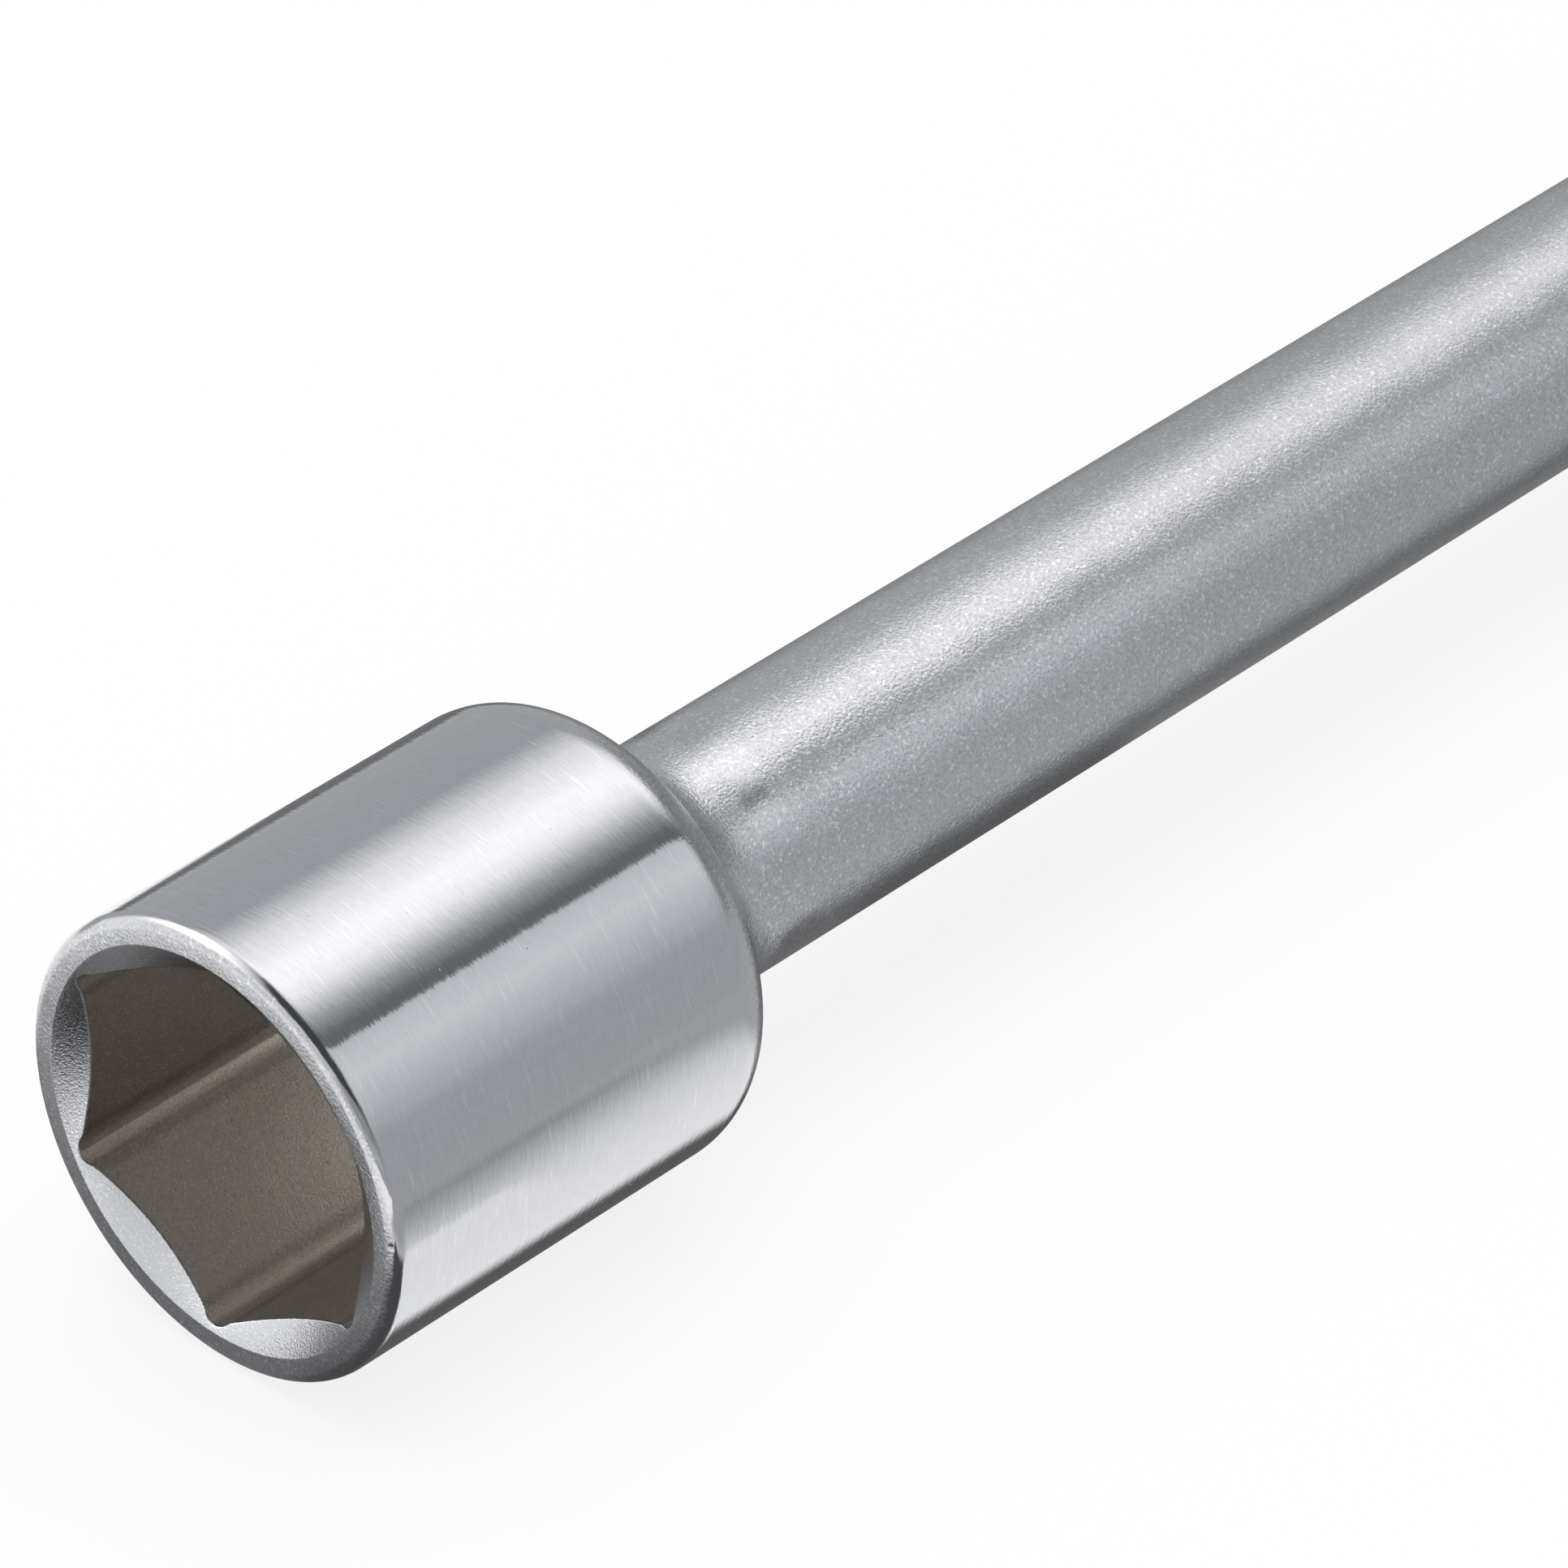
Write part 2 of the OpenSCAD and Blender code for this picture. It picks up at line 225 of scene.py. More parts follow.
def tidyMesh(piece, crease):
    # joins poles, turns faces outwards and marks the sharp edges
    work = bmesh.new()
    work.from_mesh(piece.data)
    bmesh.ops.remove_doubles(work, verts=work.verts, dist=0.0004 * mm)
    bmesh.ops.recalc_face_normals(work, faces=work.faces)
    for face in work.faces:
        face.smooth = True
    for edge in work.edges:
        edge.smooth = len(edge.link_faces) == 2 and edge.calc_face_angle(0) < math.radians(crease)
    work.to_mesh(piece.data)
    work.free()


def onAxis(axis, centre, side=1):
    # gives a function that places (along, radius, angle) on the axis X, Y or Z through centre
    along, across, up = {"X": (0, 1, 2), "Y": (1, 2, 0), "Z": (2, 0, 1)}[axis]

    def place(distance, radius, angle):
        spot = [0, 0, 0]
        spot[along] = centre[along] + side * distance
        spot[across] = centre[across] + radius * math.cos(angle)
        spot[up] = centre[up] + radius * math.sin(angle)
        return spot
    return place


def facesBetween(columns, outline, closed=False):
    # faces that join columns of points round an axis, each column with as many as the outline has;
    # a point of radius 0 is a pole
    rows = len(outline)
    faces = []
    for column in range(columns):
        here, beside = column * rows, (column + 1) % columns * rows
        for row in range(rows if closed else rows - 1):
            after = (row + 1) % rows
            corners = [here + row, here + after, beside + after, beside + row]
            if outline[row][1] == 0:
                corners = [here + row, here + after, beside + after]
            elif outline[after][1] == 0:
                corners = [here + row, here + after, beside + row]
            faces.append(corners)
    return faces


def lathe(name, outline, axis, centre, materials, side=1, columns=192, closed=False, crease=28):
    # turns an outline of (along, radius) points about the axis
    place = onAxis(axis, centre, side)
    vertices = []
    for column in range(columns):
        for distance, radius in outline:
            vertices.append(place(distance, radius, 2 * math.pi * column / columns))
    return makePiece(name, vertices, facesBetween(columns, outline, closed), materials, crease=crease)


def cut(piece, *cutters, crease=28):
    # subtracts the cutters for good
    for cutter in cutters:
        knife = piece.modifiers.new("cut", "BOOLEAN")
        knife.operation = "DIFFERENCE"
        knife.solver = "EXACT"
        knife.object = cutter
    bpy.context.view_layer.update()
    shape = piece.evaluated_get(bpy.context.evaluated_depsgraph_get())
    made = bpy.data.meshes.new_from_object(shape)
    piece.modifiers.clear()
    old = piece.data
    piece.data = made
    bpy.data.meshes.remove(old)
    for cutter in cutters:
        bpy.data.objects.remove(cutter)
    tidyMesh(piece, crease)


def seat(piece, body, node):
    # even shading across long and short faces, then its place in the frame
    even = piece.modifiers.new("evenShading", "WEIGHTED_NORMAL")
    even.keep_sharp = True
    even.weight = 100
    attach(piece, body)
    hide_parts(node)
    print("piece", piece.name, "faces", len(piece.data.polygons))


# Materials

platedForgingLook = {
    "colour": "#cbcbcf",
    "blastedColour": "#d2d2d6",
    "polishedRough": 0.07,
    "polishedSpread": (0.75, 1.3),    # the shares of it that the hairlines give
    "blastedRough": 0.28,
    "softer": (22, 55, 0.36),  # the shank gets softer towards the handle: from x, to x, roughness there
    "rimEnd": (0.14, 0.1),    # where the polish begins, on the rim's round, and over what length
    "blastStart": 17.25,      # where it ends, on the shoulder
    "blastFull": 18.4,
    "patches": 0.5,           # size of the patches that make the polish's edges uneven
    "patchShift": (0.6, 0.2),  # how far they move the edge on the shoulder and on the rim
    "streaks": (0.13, 1.0, 0.008),    # groups of brush lines: width, length and height in mm
    "hairlines": (0.055, 0.6, 0.0014),  # single lines, drawn coarser than the real 0.02 so that they show
    "lineShade": 0.06,        # how much lighter or darker the lines look
    "scratchGlints": (0.07, 0.8, 0.95, 1.12),  # sparse scratches with a painted glint: width, length, share of plain places, brightness
    "pock": (0.9, 0.05, 0.008),   # tiny pits in the polish: spacing, size and depth
    "grain": 0.115,           # a bead's dent, mm
    "grainDepth": 0.0165,
    "rimGrain": (0.5, 4.0, 0.65),      # shallower dents on the rim: up to x, whole from x, depth on it
    "grainFade": (30, 70, 1.0, 0.75),  # from x, to x, depth there
    "paintedFarShade": (38, 50, 0.93),        # painted shade: the far shank is a little darker: from x, to x, brightness
    "waves": (3.5, 0.12),     # slow unevenness of the forged skin: width and depth
    "paintedDentShade": 0.8,          # painted shade: the bottoms of the dents are a little darker
    "glintFlecks": (0.1, 0.1, 0.9, 1.3),    # painted glints in a few dents: width, length, share of plain ones, brightness
    # a band on the neck, rubbed smoother: x, how far it is whole and reaches each way, grain left
    "rubbed": (24.0, 0.6, 1.5, 0.35),
    "rubbedRough": 0.7,                # and the share of the roughness left there
    "wander": (2.5, 5.0),              # its edges wander: size of the bends and their reach
    "nicks": ((0.1, 8.5, 23, 0.16), (0.1, 8.55, 177, 0.22)),  # knocks in the rim: x, radius, direction, size
    "nickDepth": 3.5,         # as a multiple of grainDepth
}


def chromePlatedForging():
    # Chrome plate over a forging: mirror-like with fine lines round the barrel, frosted by beads elsewhere.
    look = platedForgingLook
    material, add, spot = startMaterial("chromePlatedForging")
    split = add("SeparateXYZ", {"Vector": spot})
    x = split.outputs["X"]

    # the polished zone, from the rim to the shoulder, has uneven edges
    patch = add("TexNoise", {"Vector": spot, "Scale": 1 / (look["patches"] * mm), "Detail": 3})
    shoulderShift, rimShift = look["patchShift"]
    shifted = add("Math", {0: patch, 1: shoulderShift * mm, 2: x}, operation="MULTIPLY_ADD")
    shankSide = add("MapRange", {
        "Value": shifted, "From Min": look["blastStart"] * mm, "From Max": look["blastFull"] * mm,
    }, interpolation_type="SMOOTHSTEP")
    rimEnd, rimBlend = look["rimEnd"]
    rimEdge = add("Math", {0: patch, 1: rimShift * mm, 2: x}, operation="MULTIPLY_ADD")
    rimSide = add("MapRange", {
        "Value": rimEdge, "From Min": rimEnd * mm, "From Max": (rimEnd + rimBlend) * mm,
        "To Min": 1.0, "To Max": 0.0,
    }, interpolation_type="SMOOTHSTEP")
    blasted = add("Math", {0: shankSide, 1: rimSide}, operation="MAXIMUM")

    # brush lines run round the barrel: short across X, long along Y and Z
    lineBump = None
    for width, length, height in (look["streaks"], look["hairlines"]):
        lines, lineBump = noiseAndBump(add, spot, (width, length, length), height, 2, 0.6, lineBump)
    spacing, size, depth = look["pock"]
    pocks = add("TexVoronoi", {"Vector": spot, "Scale": 1 / (spacing * mm)})
    pit = add("MapRange", {
        "Value": pocks, "From Min": 0.0, "From Max": size / spacing,
    }, interpolation_type="SMOOTHSTEP")
    polishBump = add("Bump", {"Height": pit, "Distance": depth * mm, "Strength": 1, "Normal": lineBump})

    # dents left by the beads, weaker towards the handle and where the neck was rubbed
    dents = add("TexNoise", {
        "Vector": spot, "Scale": 1 / (look["grain"] * mm), "Detail": 1, "Roughness": 0.55,
    })
    cells = add("TexVoronoi", {
        "Vector": spot, "Scale": 1 / (look["grain"] * mm), "Smoothness": 0.4,
    }, feature="SMOOTH_F1")
    dented = add("Math", {0: cells, 1: 0.5, 2: dents}, operation="MULTIPLY_ADD")
    fadeFrom, fadeTo, nearDepth, farDepth = look["grainFade"]
    farFade = add("MapRange", {
        "Value": x, "From Min": fadeFrom * mm, "From Max": fadeTo * mm,
        "To Min": nearDepth, "To Max": farDepth,
    })
    rimTo, wholeFrom, rimDepth = look["rimGrain"]
    rimFade = add("MapRange", {
        "Value": x, "From Min": rimTo * mm, "From Max": wholeFrom * mm, "To Min": rimDepth, "To Max": 1.0,
    })
    rubbedAt, rubbedWhole, rubbedGone, rubbedGrain = look["rubbed"]
    wanderSize, wanderReach = look["wander"]
    wander = add("TexNoise", {"Vector": spot, "Scale": 1 / (wanderSize * mm), "Detail": 4})
    wandered = add("Math", {0: wander, 1: wanderReach * mm, 2: x}, operation="MULTIPLY_ADD")
    middle = (rubbedAt + wanderReach / 2) * mm
    rubbed = band(add, wandered, middle, rubbedWhole * mm, rubbedGone * mm, rubbedGrain, 1.0)
    dentStrength = product(add, farFade, rimFade, rubbed)
    knocked = dented
    for nickX, nickRadius, direction, size in look["nicks"]:
        a = math.radians(direction)
        centre = (nickX * mm, nickRadius * math.cos(a) * mm, nickRadius * math.sin(a) * mm)
        reach = add("VectorMath", {0: spot, 1: centre}, operation="DISTANCE")
        hollow = add("MapRange", {
            "Value": reach.outputs["Value"], "From Min": 0.0, "From Max": size * mm,
            "To Min": -look["nickDepth"], "To Max": 0.0,
        }, interpolation_type="SMOOTHSTEP")
        knocked = add("Math", {0: knocked, 1: hollow}, operation="ADD")
    waveWidth, waveDepth = look["waves"]
    waveBump = noiseAndBump(add, spot, [waveWidth] * 3, waveDepth, 1, below=lineBump)[1]
    dentBump = add("Bump", {
        "Height": knocked, "Distance": look["grainDepth"] * mm, "Strength": dentStrength, "Normal": waveBump,
    })

    normal = add("Mix", {"Factor": blasted, 4: polishBump, 5: dentBump}, data_type="VECTOR").outputs[1]
    softFrom, softTo, farRough = look["softer"]
    shankRough = add("MapRange", {
        "Value": x, "From Min": softFrom * mm, "From Max": softTo * mm,
        "To Min": look["blastedRough"], "To Max": farRough,
    })
    smoother = add("MapRange", {
        "Value": rubbed, "From Min": rubbedGrain, "From Max": 1.0,
        "To Min": look["rubbedRough"], "To Max": 1.0,
    })
    rubbedRough = product(add, shankRough, smoother)
    # the hairlines, made last, also vary the polish
    leastShare, mostShare = look["polishedSpread"]
    barrelRough = add("MapRange", {
        "Value": lines, "From Min": 0.3, "From Max": 0.7,
        "To Min": look["polishedRough"] * leastShare, "To Max": look["polishedRough"] * mostShare,
    })
    rough = add("Mix", {"Factor": blasted, 2: barrelRough, 3: rubbedRough}, data_type="FLOAT")

    # painted glints along scratches and in a few dents, and painted shade in the dents' bottoms and on the
    # far shank, change the plate's brightness a little
    lined = shadedByLines(add, look["colour"], lines, look["lineShade"])
    scratchGlint = paintedGlintCells(add, spot, look["scratchGlints"], rise=0.05)
    scratchGlinted = shaded(add, lined, scratchGlint)
    dentBottomShade = add("MapRange", {
        "Value": dented, "From Min": 0.55, "From Max": 0.85, "To Min": look["paintedDentShade"], "To Max": 1.0,
    })
    farFrom, farTo, farLevel = look["paintedFarShade"]
    paintedFarShade = add("MapRange", {
        "Value": x, "From Min": farFrom * mm, "From Max": farTo * mm, "To Min": 1.0, "To Max": farLevel,
    })
    glint = paintedGlintCells(add, spot, look["glintFlecks"])
    blastedPaintedColour = shaded(add, linear(look["blastedColour"]), dentBottomShade, glint, paintedFarShade)
    tint = add("Mix", {"Factor": blasted, 6: scratchGlinted, 7: blastedPaintedColour}, data_type="RGBA")
    finishMaterial(add, tint.outputs[2], rough, normal)
    return material


satinMouthLook = {
    "colour": "#d4d4d8",
    "rough": 0.155,
    "roughSpread": (0.85, 1.2),    # the shares of it that the grain gives
    "grain": 0.09,
    "grainDepth": 0.015,
    "glintFlecks": (0.07, 0.07, 0.88, 1.16),  # painted glints in bright specks: width, length, share of plain places, brightness
    "ringWidth": 0.07,   # turning marks, mm between rings
    "ringDepth": 0.0012,
}


def chromePlatedMouth():
    # Chrome plate over the turned lead-in of the mouth: satin, with faint rings from the lathe.
    look = satinMouthLook
    material, add, spot = startMaterial("chromePlatedMouth")
    grain, grainBump = noiseAndBump(add, spot, [look["grain"]] * 3, look["grainDepth"], 2, 0.6)
    ringCount = product(add, distanceFromAxis(add, spot), 1 / (look["ringWidth"] * mm))
    rings = add("TexNoise", {"W": ringCount, "Scale": 1.0, "Detail": 2}, noise_dimensions="1D")
    ringBump = add("Bump", {
        "Height": rings, "Distance": look["ringDepth"] * mm, "Strength": 1, "Normal": grainBump,
    })
    # painted glints in a few specks
    glint = paintedGlintCells(add, spot, look["glintFlecks"])
    tint = shaded(add, linear(look["colour"]), glint)
    unevenFinish(add, tint, ringBump, grain, look["rough"], look["roughSpread"])
    return material


broachedLook = {
    "colour": "#ebe7e2",
    "darkColour": "#e3dcd7",
    "rough": 0.29,
    "roughSpread": (0.85, 1.15),
    "grain": 0.09,
    "grainDepth": 0.022,
    "glintFlecks": (0.07, 0.07, 0.9, 1.12),  # painted glints in bright specks: width, length, share of plain places, brightness
    "relief": (7.22, 7.4, 1.2),    # painted highlight that makes the corner reliefs lighter: from radius, to radius, brightness
    "reliefEdge": (7.15, 0.15, 0.8),   # painted shade, a dark line where they meet the flats: radius, half width, brightness
    "shadedFlat": (2.5, 6.49, 6.52, 0.6),  # painted shade that makes one flat darker: its direction in degrees, the distances along it where that begins and is whole, and the brightness there
    # the distances along it where that begins and is whole, and the brightness there
}


def broachedSteel():
    # Broached steel with only a breath of plating: warm brown-grey satin with a fine sparkle.
    look = broachedLook
    material, add, spot = startMaterial("broachedSteel")
    grain, grainBump = noiseAndBump(add, spot, [look["grain"]] * 3, look["grainDepth"], 3, 0.6)
    steel = add("Mix", {
        "Factor": grain, 6: linear(look["colour"]), 7: linear(look["darkColour"]),
    }, data_type="RGBA")
    # painted glints in a few specks
    glint = paintedGlintCells(add, spot, look["glintFlecks"])
    radius = distanceFromAxis(add, spot)
    # painted highlight on the corner reliefs
    reliefFrom, reliefTo, reliefShade = look["relief"]
    relief = add("MapRange", {
        "Value": radius, "From Min": reliefFrom * mm, "From Max": reliefTo * mm,
        "To Min": 1.0, "To Max": reliefShade,
    })
    # painted shade in the crease between the reliefs and the flats
    edgeAt, edgeHalf, creaseShadeLevel = look["reliefEdge"]
    edge = band(add, radius, edgeAt * mm, 0.0, edgeHalf * mm, creaseShadeLevel, 1.0)
    # painted shade on one flat of the hexagon
    direction, flatShadeFrom, flatShadeTo, flatShadeLevel = look["shadedFlat"]
    flatWay = (0, math.cos(math.radians(direction)), math.sin(math.radians(direction)))
    reach = add("VectorMath", {0: spot, 1: flatWay}, operation="DOT_PRODUCT")
    flatShade = add("MapRange", {
        "Value": reach.outputs["Value"], "From Min": flatShadeFrom * mm, "From Max": flatShadeTo * mm,
        "To Min": 1.0, "To Max": flatShadeLevel,
    }, interpolation_type="SMOOTHSTEP")
    tint = shaded(add, steel.outputs[2], glint, relief, edge, flatShade, clamp_result=True)
    unevenFinish(add, tint, grainBump, grain, look["rough"], look["roughSpread"])
    return material


turnedChromeLook = {
    "colour": "#c9cacb",
    "rough": 0.07,
    "roughSpread": (0.8, 2.2),
    "lineWidth": 0.09,    # polishing lines, drawn coarser than the real 0.03 mm
    "lineLength": 3.0,
    "lineDepth": 0.0011,
    "lineShade": 0.05,    # how much lighter or darker the lines look
    "waveWidth": 2.4,     # slow ripple that hand polishing leaves
    "waveDepth": 0.006,
    "smudges": 5,         # size of the duller patches that hands leave
}


def polishedChrome(name, axis):
    # Chrome plate over polished turned steel: mirror-like, with hair lines round the axis and a slow ripple.
    look = turnedChromeLook
    material, add, spot = startMaterial(name)
    lineSizes = [look["lineWidth"] if along == axis else look["lineLength"] for along in "XYZ"]
    waveBump = noiseAndBump(add, spot, [look["waveWidth"]] * 3, look["waveDepth"], 1)[1]
    lines, lineBump = noiseAndBump(add, spot, lineSizes, look["lineDepth"], 3, below=waveBump)
    smudges = add("TexNoise", {
        "Vector": spot, "Scale": 1 / (look["smudges"] * mm), "Detail": 4, "Roughness": 0.6,
    })
    tint = shadedByLines(add, look["colour"], lines, look["lineShade"])
    unevenFinish(add, tint, lineBump, smudges, look["rough"], look["roughSpread"], low=0.35)
    return material


groundBarLook = {
    "colour": "#c8c9cb",
    "rough": 0.1,
    "lines": (0.08, 2.5, 0.0012),   # grinding marks round the bar: width, length and depth in mm
    "lineShade": 0.05,    # how much lighter or darker they look
    "scuffs": (0.35, 30, 0.0015),   # marks along the bar, where it slides through the head
    "scuffRough": 0.22,
}


def groundBarChrome():
    # Hard chrome on a ground bar: bright, with grinding marks round it and dull scuffs along it.
    look = groundBarLook
    material, add, spot = startMaterial("groundBarChrome")
    lineWidth, lineLength, lineDepth = look["lines"]
    lines, lineBump = noiseAndBump(add, spot, (lineLength, lineWidth, lineLength), lineDepth, 3)
    scuffWidth, scuffLength, scuffDepth = look["scuffs"]
    scuffSizes = (scuffWidth, scuffLength, scuffWidth)
    scuffs, scuffBump = noiseAndBump(add, spot, scuffSizes, scuffDepth, 3, 0.65, lineBump)
    scuffed = add("MapRange", {
        "Value": scuffs, "From Min": 0.56, "From Max": 0.68,
        "To Min": look["rough"], "To Max": look["scuffRough"],
    }, interpolation_type="SMOOTHSTEP")
    tint = shadedByLines(add, look["colour"], lines, look["lineShade"])
    finishMaterial(add, tint, scuffed, scuffBump)
    return material


zincLook = {
    "colour": "#b3b7bd",
    "warmColour": "#bdb9a9",
    "patches": 3,
    "rough": 0.3,
    "roughSpread": (0.8, 1.3),
    "grain": 0.12,
    "grainDepth": 0.003,
}


def zincPlatedSteel():
    # Zinc plate on punched steel: pale, slightly blue with straw patches, and softly satin.
    look = zincLook
    material, add, spot = startMaterial("zincPlatedSteel")
    patches = add("TexNoise", {"Vector": spot, "Scale": 1 / (look["patches"] * mm), "Detail": 3})
    tint = patchyColour(add, patches, 0.45, 0.75, look["colour"], look["warmColour"])
    bump = noiseAndBump(add, spot, [look["grain"]] * 3, look["grainDepth"], 3)[1]
    unevenFinish(add, tint, bump, patches, look["rough"], look["roughSpread"])
    return material


rubberLook = {
    "colour": "#1b1b1c",
    "dustColour": "#3a3936",
    "dust": (1.5, 0.45),    # size of its patches, and its share in the dustiest
    "rough": 0.55,
    "roughSpread": (0.85, 1.3),
    "ior": 1.52,
    "grain": 0.15,
    "grainDepth": 0.01,
}


def mouldedRubber():
    # Moulded nitrile rubber: near black and matt, with a fine mould texture and a little dust in it.
    look = rubberLook
    material, add, spot = startMaterial("mouldedRubber")
    bump = noiseAndBump(add, spot, [look["grain"]] * 3, look["grainDepth"], 4)[1]
    dustSize, mostDust = look["dust"]
    dust = add("TexNoise", {"Vector": spot, "Scale": 1 / (dustSize * mm), "Detail": 5, "Roughness": 0.7})
    tint = patchyColour(add, dust, 0.5, 0.8, look["colour"], look["dustColour"], mostDust)
    unevenFinish(
        add, tint, bump, dust, look["rough"], look["roughSpread"], high=0.8, Metallic=0.0, IOR=look["ior"])
    return material


darkSteelLooks = {
    # colour, lighter wear, roughness, mark width and length in mm, mark direction
    "springSteelPin": ("#5d5e61", "#8b8c8e", 0.34, 0.06, 1.5, "Z"),
    "drawnSpringWire": ("#77787a", "#9b9b9c", 0.27, 0.07, 2.0, "X"),
    "blackOxideSteel": ("#2b2c2f", "#55565a", 0.36, 0.10, 0.6, "X"),
    "bearingSteel": ("#c4c7cb", "#b4b6b8", 0.05, 0.10, 0.4, "X"),
}


def hardenedSteel(name):
    # Hardened steel: oiled dark grey on pins and wire, black oxide on the screw, mirror bright on the ball.
    colour, wornColour, roughness, markWidth, markLength, axis = darkSteelLooks[name]
    material, add, spot = startMaterial(name)
    wearSize, markDepth, roughSpread = 0.8, 0.006 * roughness, (0.85, 1.3)
    markSizes = [markLength if along == axis else markWidth for along in "XYZ"]
    bump = noiseAndBump(add, spot, markSizes, markDepth, 3)[1]
    wear = add("TexNoise", {"Vector": spot, "Scale": 1 / (wearSize * mm), "Detail": 5, "Roughness": 0.65})
    tint = patchyColour(add, wear, 0.45, 0.75, colour, wornColour)
    unevenFinish(add, tint, bump, wear, roughness, roughSpread)
    return material


forgingChrome = chromePlatedForging()
mouthChrome = chromePlatedMouth()
hexSteel = broachedSteel()
headChrome = polishedChrome("polishedHeadChrome", "X")
knobChrome = polishedChrome("polishedKnobChrome", "Y")
barChrome = groundBarChrome()
washerZinc = zincPlatedSteel()
ringRubber = mouldedRubber()
pinSteel = hardenedSteel("springSteelPin")
wireSteel = hardenedSteel("drawnSpringWire")
screwSteel = hardenedSteel("blackOxideSteel")
ballSteel = hardenedSteel("bearingSteel")
print("materials made:", len(bpy.data.materials))


# The socket and its shank, one forging. It is a grid: columns of points run from the bore, out
# over the mouth and back along the outside to the shank's end.
socketShank = {
    "hexAcrossFlats": 13.05,
    "hexDepth": 12,
    "hexCorner": 32.5,        # direction of one corner, degrees from +Y towards +Z
    "reliefRadius": 0.7,      # round relief in each corner
    "reliefCentre": 6.804,    # its centre's distance from the axis
    "reliefHalfAngle": 4.57,  # where relief and flat meet, seen from the axis
    "boreRadius": 5.5,
    "boreEnd": 17,
    "boreTip": 20.305,
    "mouthRadius": 7.704,
    "mouthAngle": 58,         # lead-in cone, from the axis
    "leadRound": 0.1,         # small blends where the cone begins and ends
    "barrelRadius": 8.75,
    "rimRound": 0.5,
    "shoulderCorner": 18.279, # where the barrel's side and the shoulder's cone would meet
    "shoulderRound": 2.4,
    "neckCorner": 20.168,     # where that cone and the shank's side would meet
    "neckRound": 3.75,
    "shankRadius": 4.7,
    "shankEnd": 253.935,
    "endChamfer": 0.4,
}


def hexWall(offset):
    # distance of the hexagon's wall from the axis, offset degrees away from the nearest corner
    s = socketShank
    if abs(offset) < s["reliefHalfAngle"]:
        a = math.radians(offset)
        return s["reliefCentre"] * math.cos(a) + math.sqrt(
            s["reliefRadius"] ** 2 - (s["reliefCentre"] * math.sin(a)) ** 2)
    return s["hexAcrossFlats"] / 2 / math.cos(math.radians(30 - abs(offset)))


def makeSocketShank():
    s = socketShank
    flatSteps, reliefSteps = 32, 14
    offsets = [s["reliefHalfAngle"] * (2 * i / reliefSteps - 1) for i in range(reliefSteps)]
    span = 60 - 2 * s["reliefHalfAngle"]
    offsets += [s["reliefHalfAngle"] + span * i / flatSteps for i in range(flatSteps)]
    slope = math.tan(math.radians(s["mouthAngle"]))
    outside = rounded([
        (0, s["mouthRadius"], 0),
        (0, s["barrelRadius"], s["rimRound"]),
        (s["shoulderCorner"], s["barrelRadius"], s["shoulderRound"]),
        (s["neckCorner"], s["shankRadius"], s["neckRound"]),
        (s["shankEnd"] - s["endChamfer"], s["shankRadius"], 0),
        (s["shankEnd"], s["shankRadius"] - s["endChamfer"], 0),
        (s["shankEnd"], 0, 0),
    ], steps=18)[1:]
    vertices = []
    for corner in range(6):
        for offset in offsets:
            nearest = offset if offset < 30 else offset - 60
            wall = hexWall(nearest)
            inside = rounded([
                (s["boreTip"], 0, 0),
                (s["boreEnd"], s["boreRadius"], 0),
                (s["hexDepth"], s["boreRadius"], 0),
                (s["hexDepth"], wall, 0),
                ((s["mouthRadius"] - wall) / slope, wall, s["leadRound"]),
                (0, s["mouthRadius"], s["leadRound"]),
                (0, s["barrelRadius"], 0),
            ], steps=4)[:-1]
            path = inside + outside
            angle = math.radians(s["hexCorner"] + 60 * corner + offset)
            for x, r in path:
                vertices.append((x, r * math.cos(angle), r * math.sin(angle)))
    columns = 6 * len(offsets)
    # the inside's last 5 points are the blend at the rim, the 5 before them the blend at the hexagon
    coneStart = len(inside) - 10
    rimStart = len(inside) - 3
    zones = [2 if row < coneStart else 1 if row < rimStart else 0 for row in range(len(path) - 1)] * columns
    materials = [forgingChrome, mouthChrome, hexSteel]
    return makePiece("socketShank", vertices, facesBetween(columns, path), materials, zones, crease=32)


seat(makeSocketShank(), "wrench", "socket_shank")


# The head: turned, cross-drilled for the bar, with a flat round each end of that bore
head = {
    "start": 242.935,
    "end": 280,
    "radius": 8.75,
    "lip": 5.6,              # radius of the ring around the shank
    "lipRound": 0.25,
    "bore": socketShank["shankRadius"],
    "boreEnd": socketShank["shankEnd"],
    "boreMouth": 0.2,        # chamfer where the shank goes in
    "shoulderCorner": 244.404,  # where the head's side and the shoulder's cone would meet
    "shoulderRound": 2.4,
    "endRound": 1.2,
    "barX": 260.685,
    "barBore": 4.55,
    "barChamfer": 0.35,
    "flatAt": 7.0,           # distance of the flats from the axis
    "flatRadius": 7.75,
    "pocket": 2.5,
    "screwX": 274.5,
    "screwRadius": 3.0,
    "screwChamfer": 0.4,
    "pinX": 249.435,
    "pinRadius": 1.5,
    "pinChamfer": 0.2,
}


def pinHole(name, x, y, radius, chamfer, surface):
    # cutter for a cross hole along Z with both mouths chamfered
    past = 1
    outline = rounded([
        (-surface - past, 0, 0),
        (-surface - past, radius + chamfer + past, 0),
        (-surface + chamfer, radius, 0),
        (surface - chamfer, radius, 0),
        (surface + past, radius + chamfer + past, 0),
        (surface + past, 0, 0),
    ])
    return lathe(name, outline, "Z", (x, y, 0), [headChrome], columns=64)


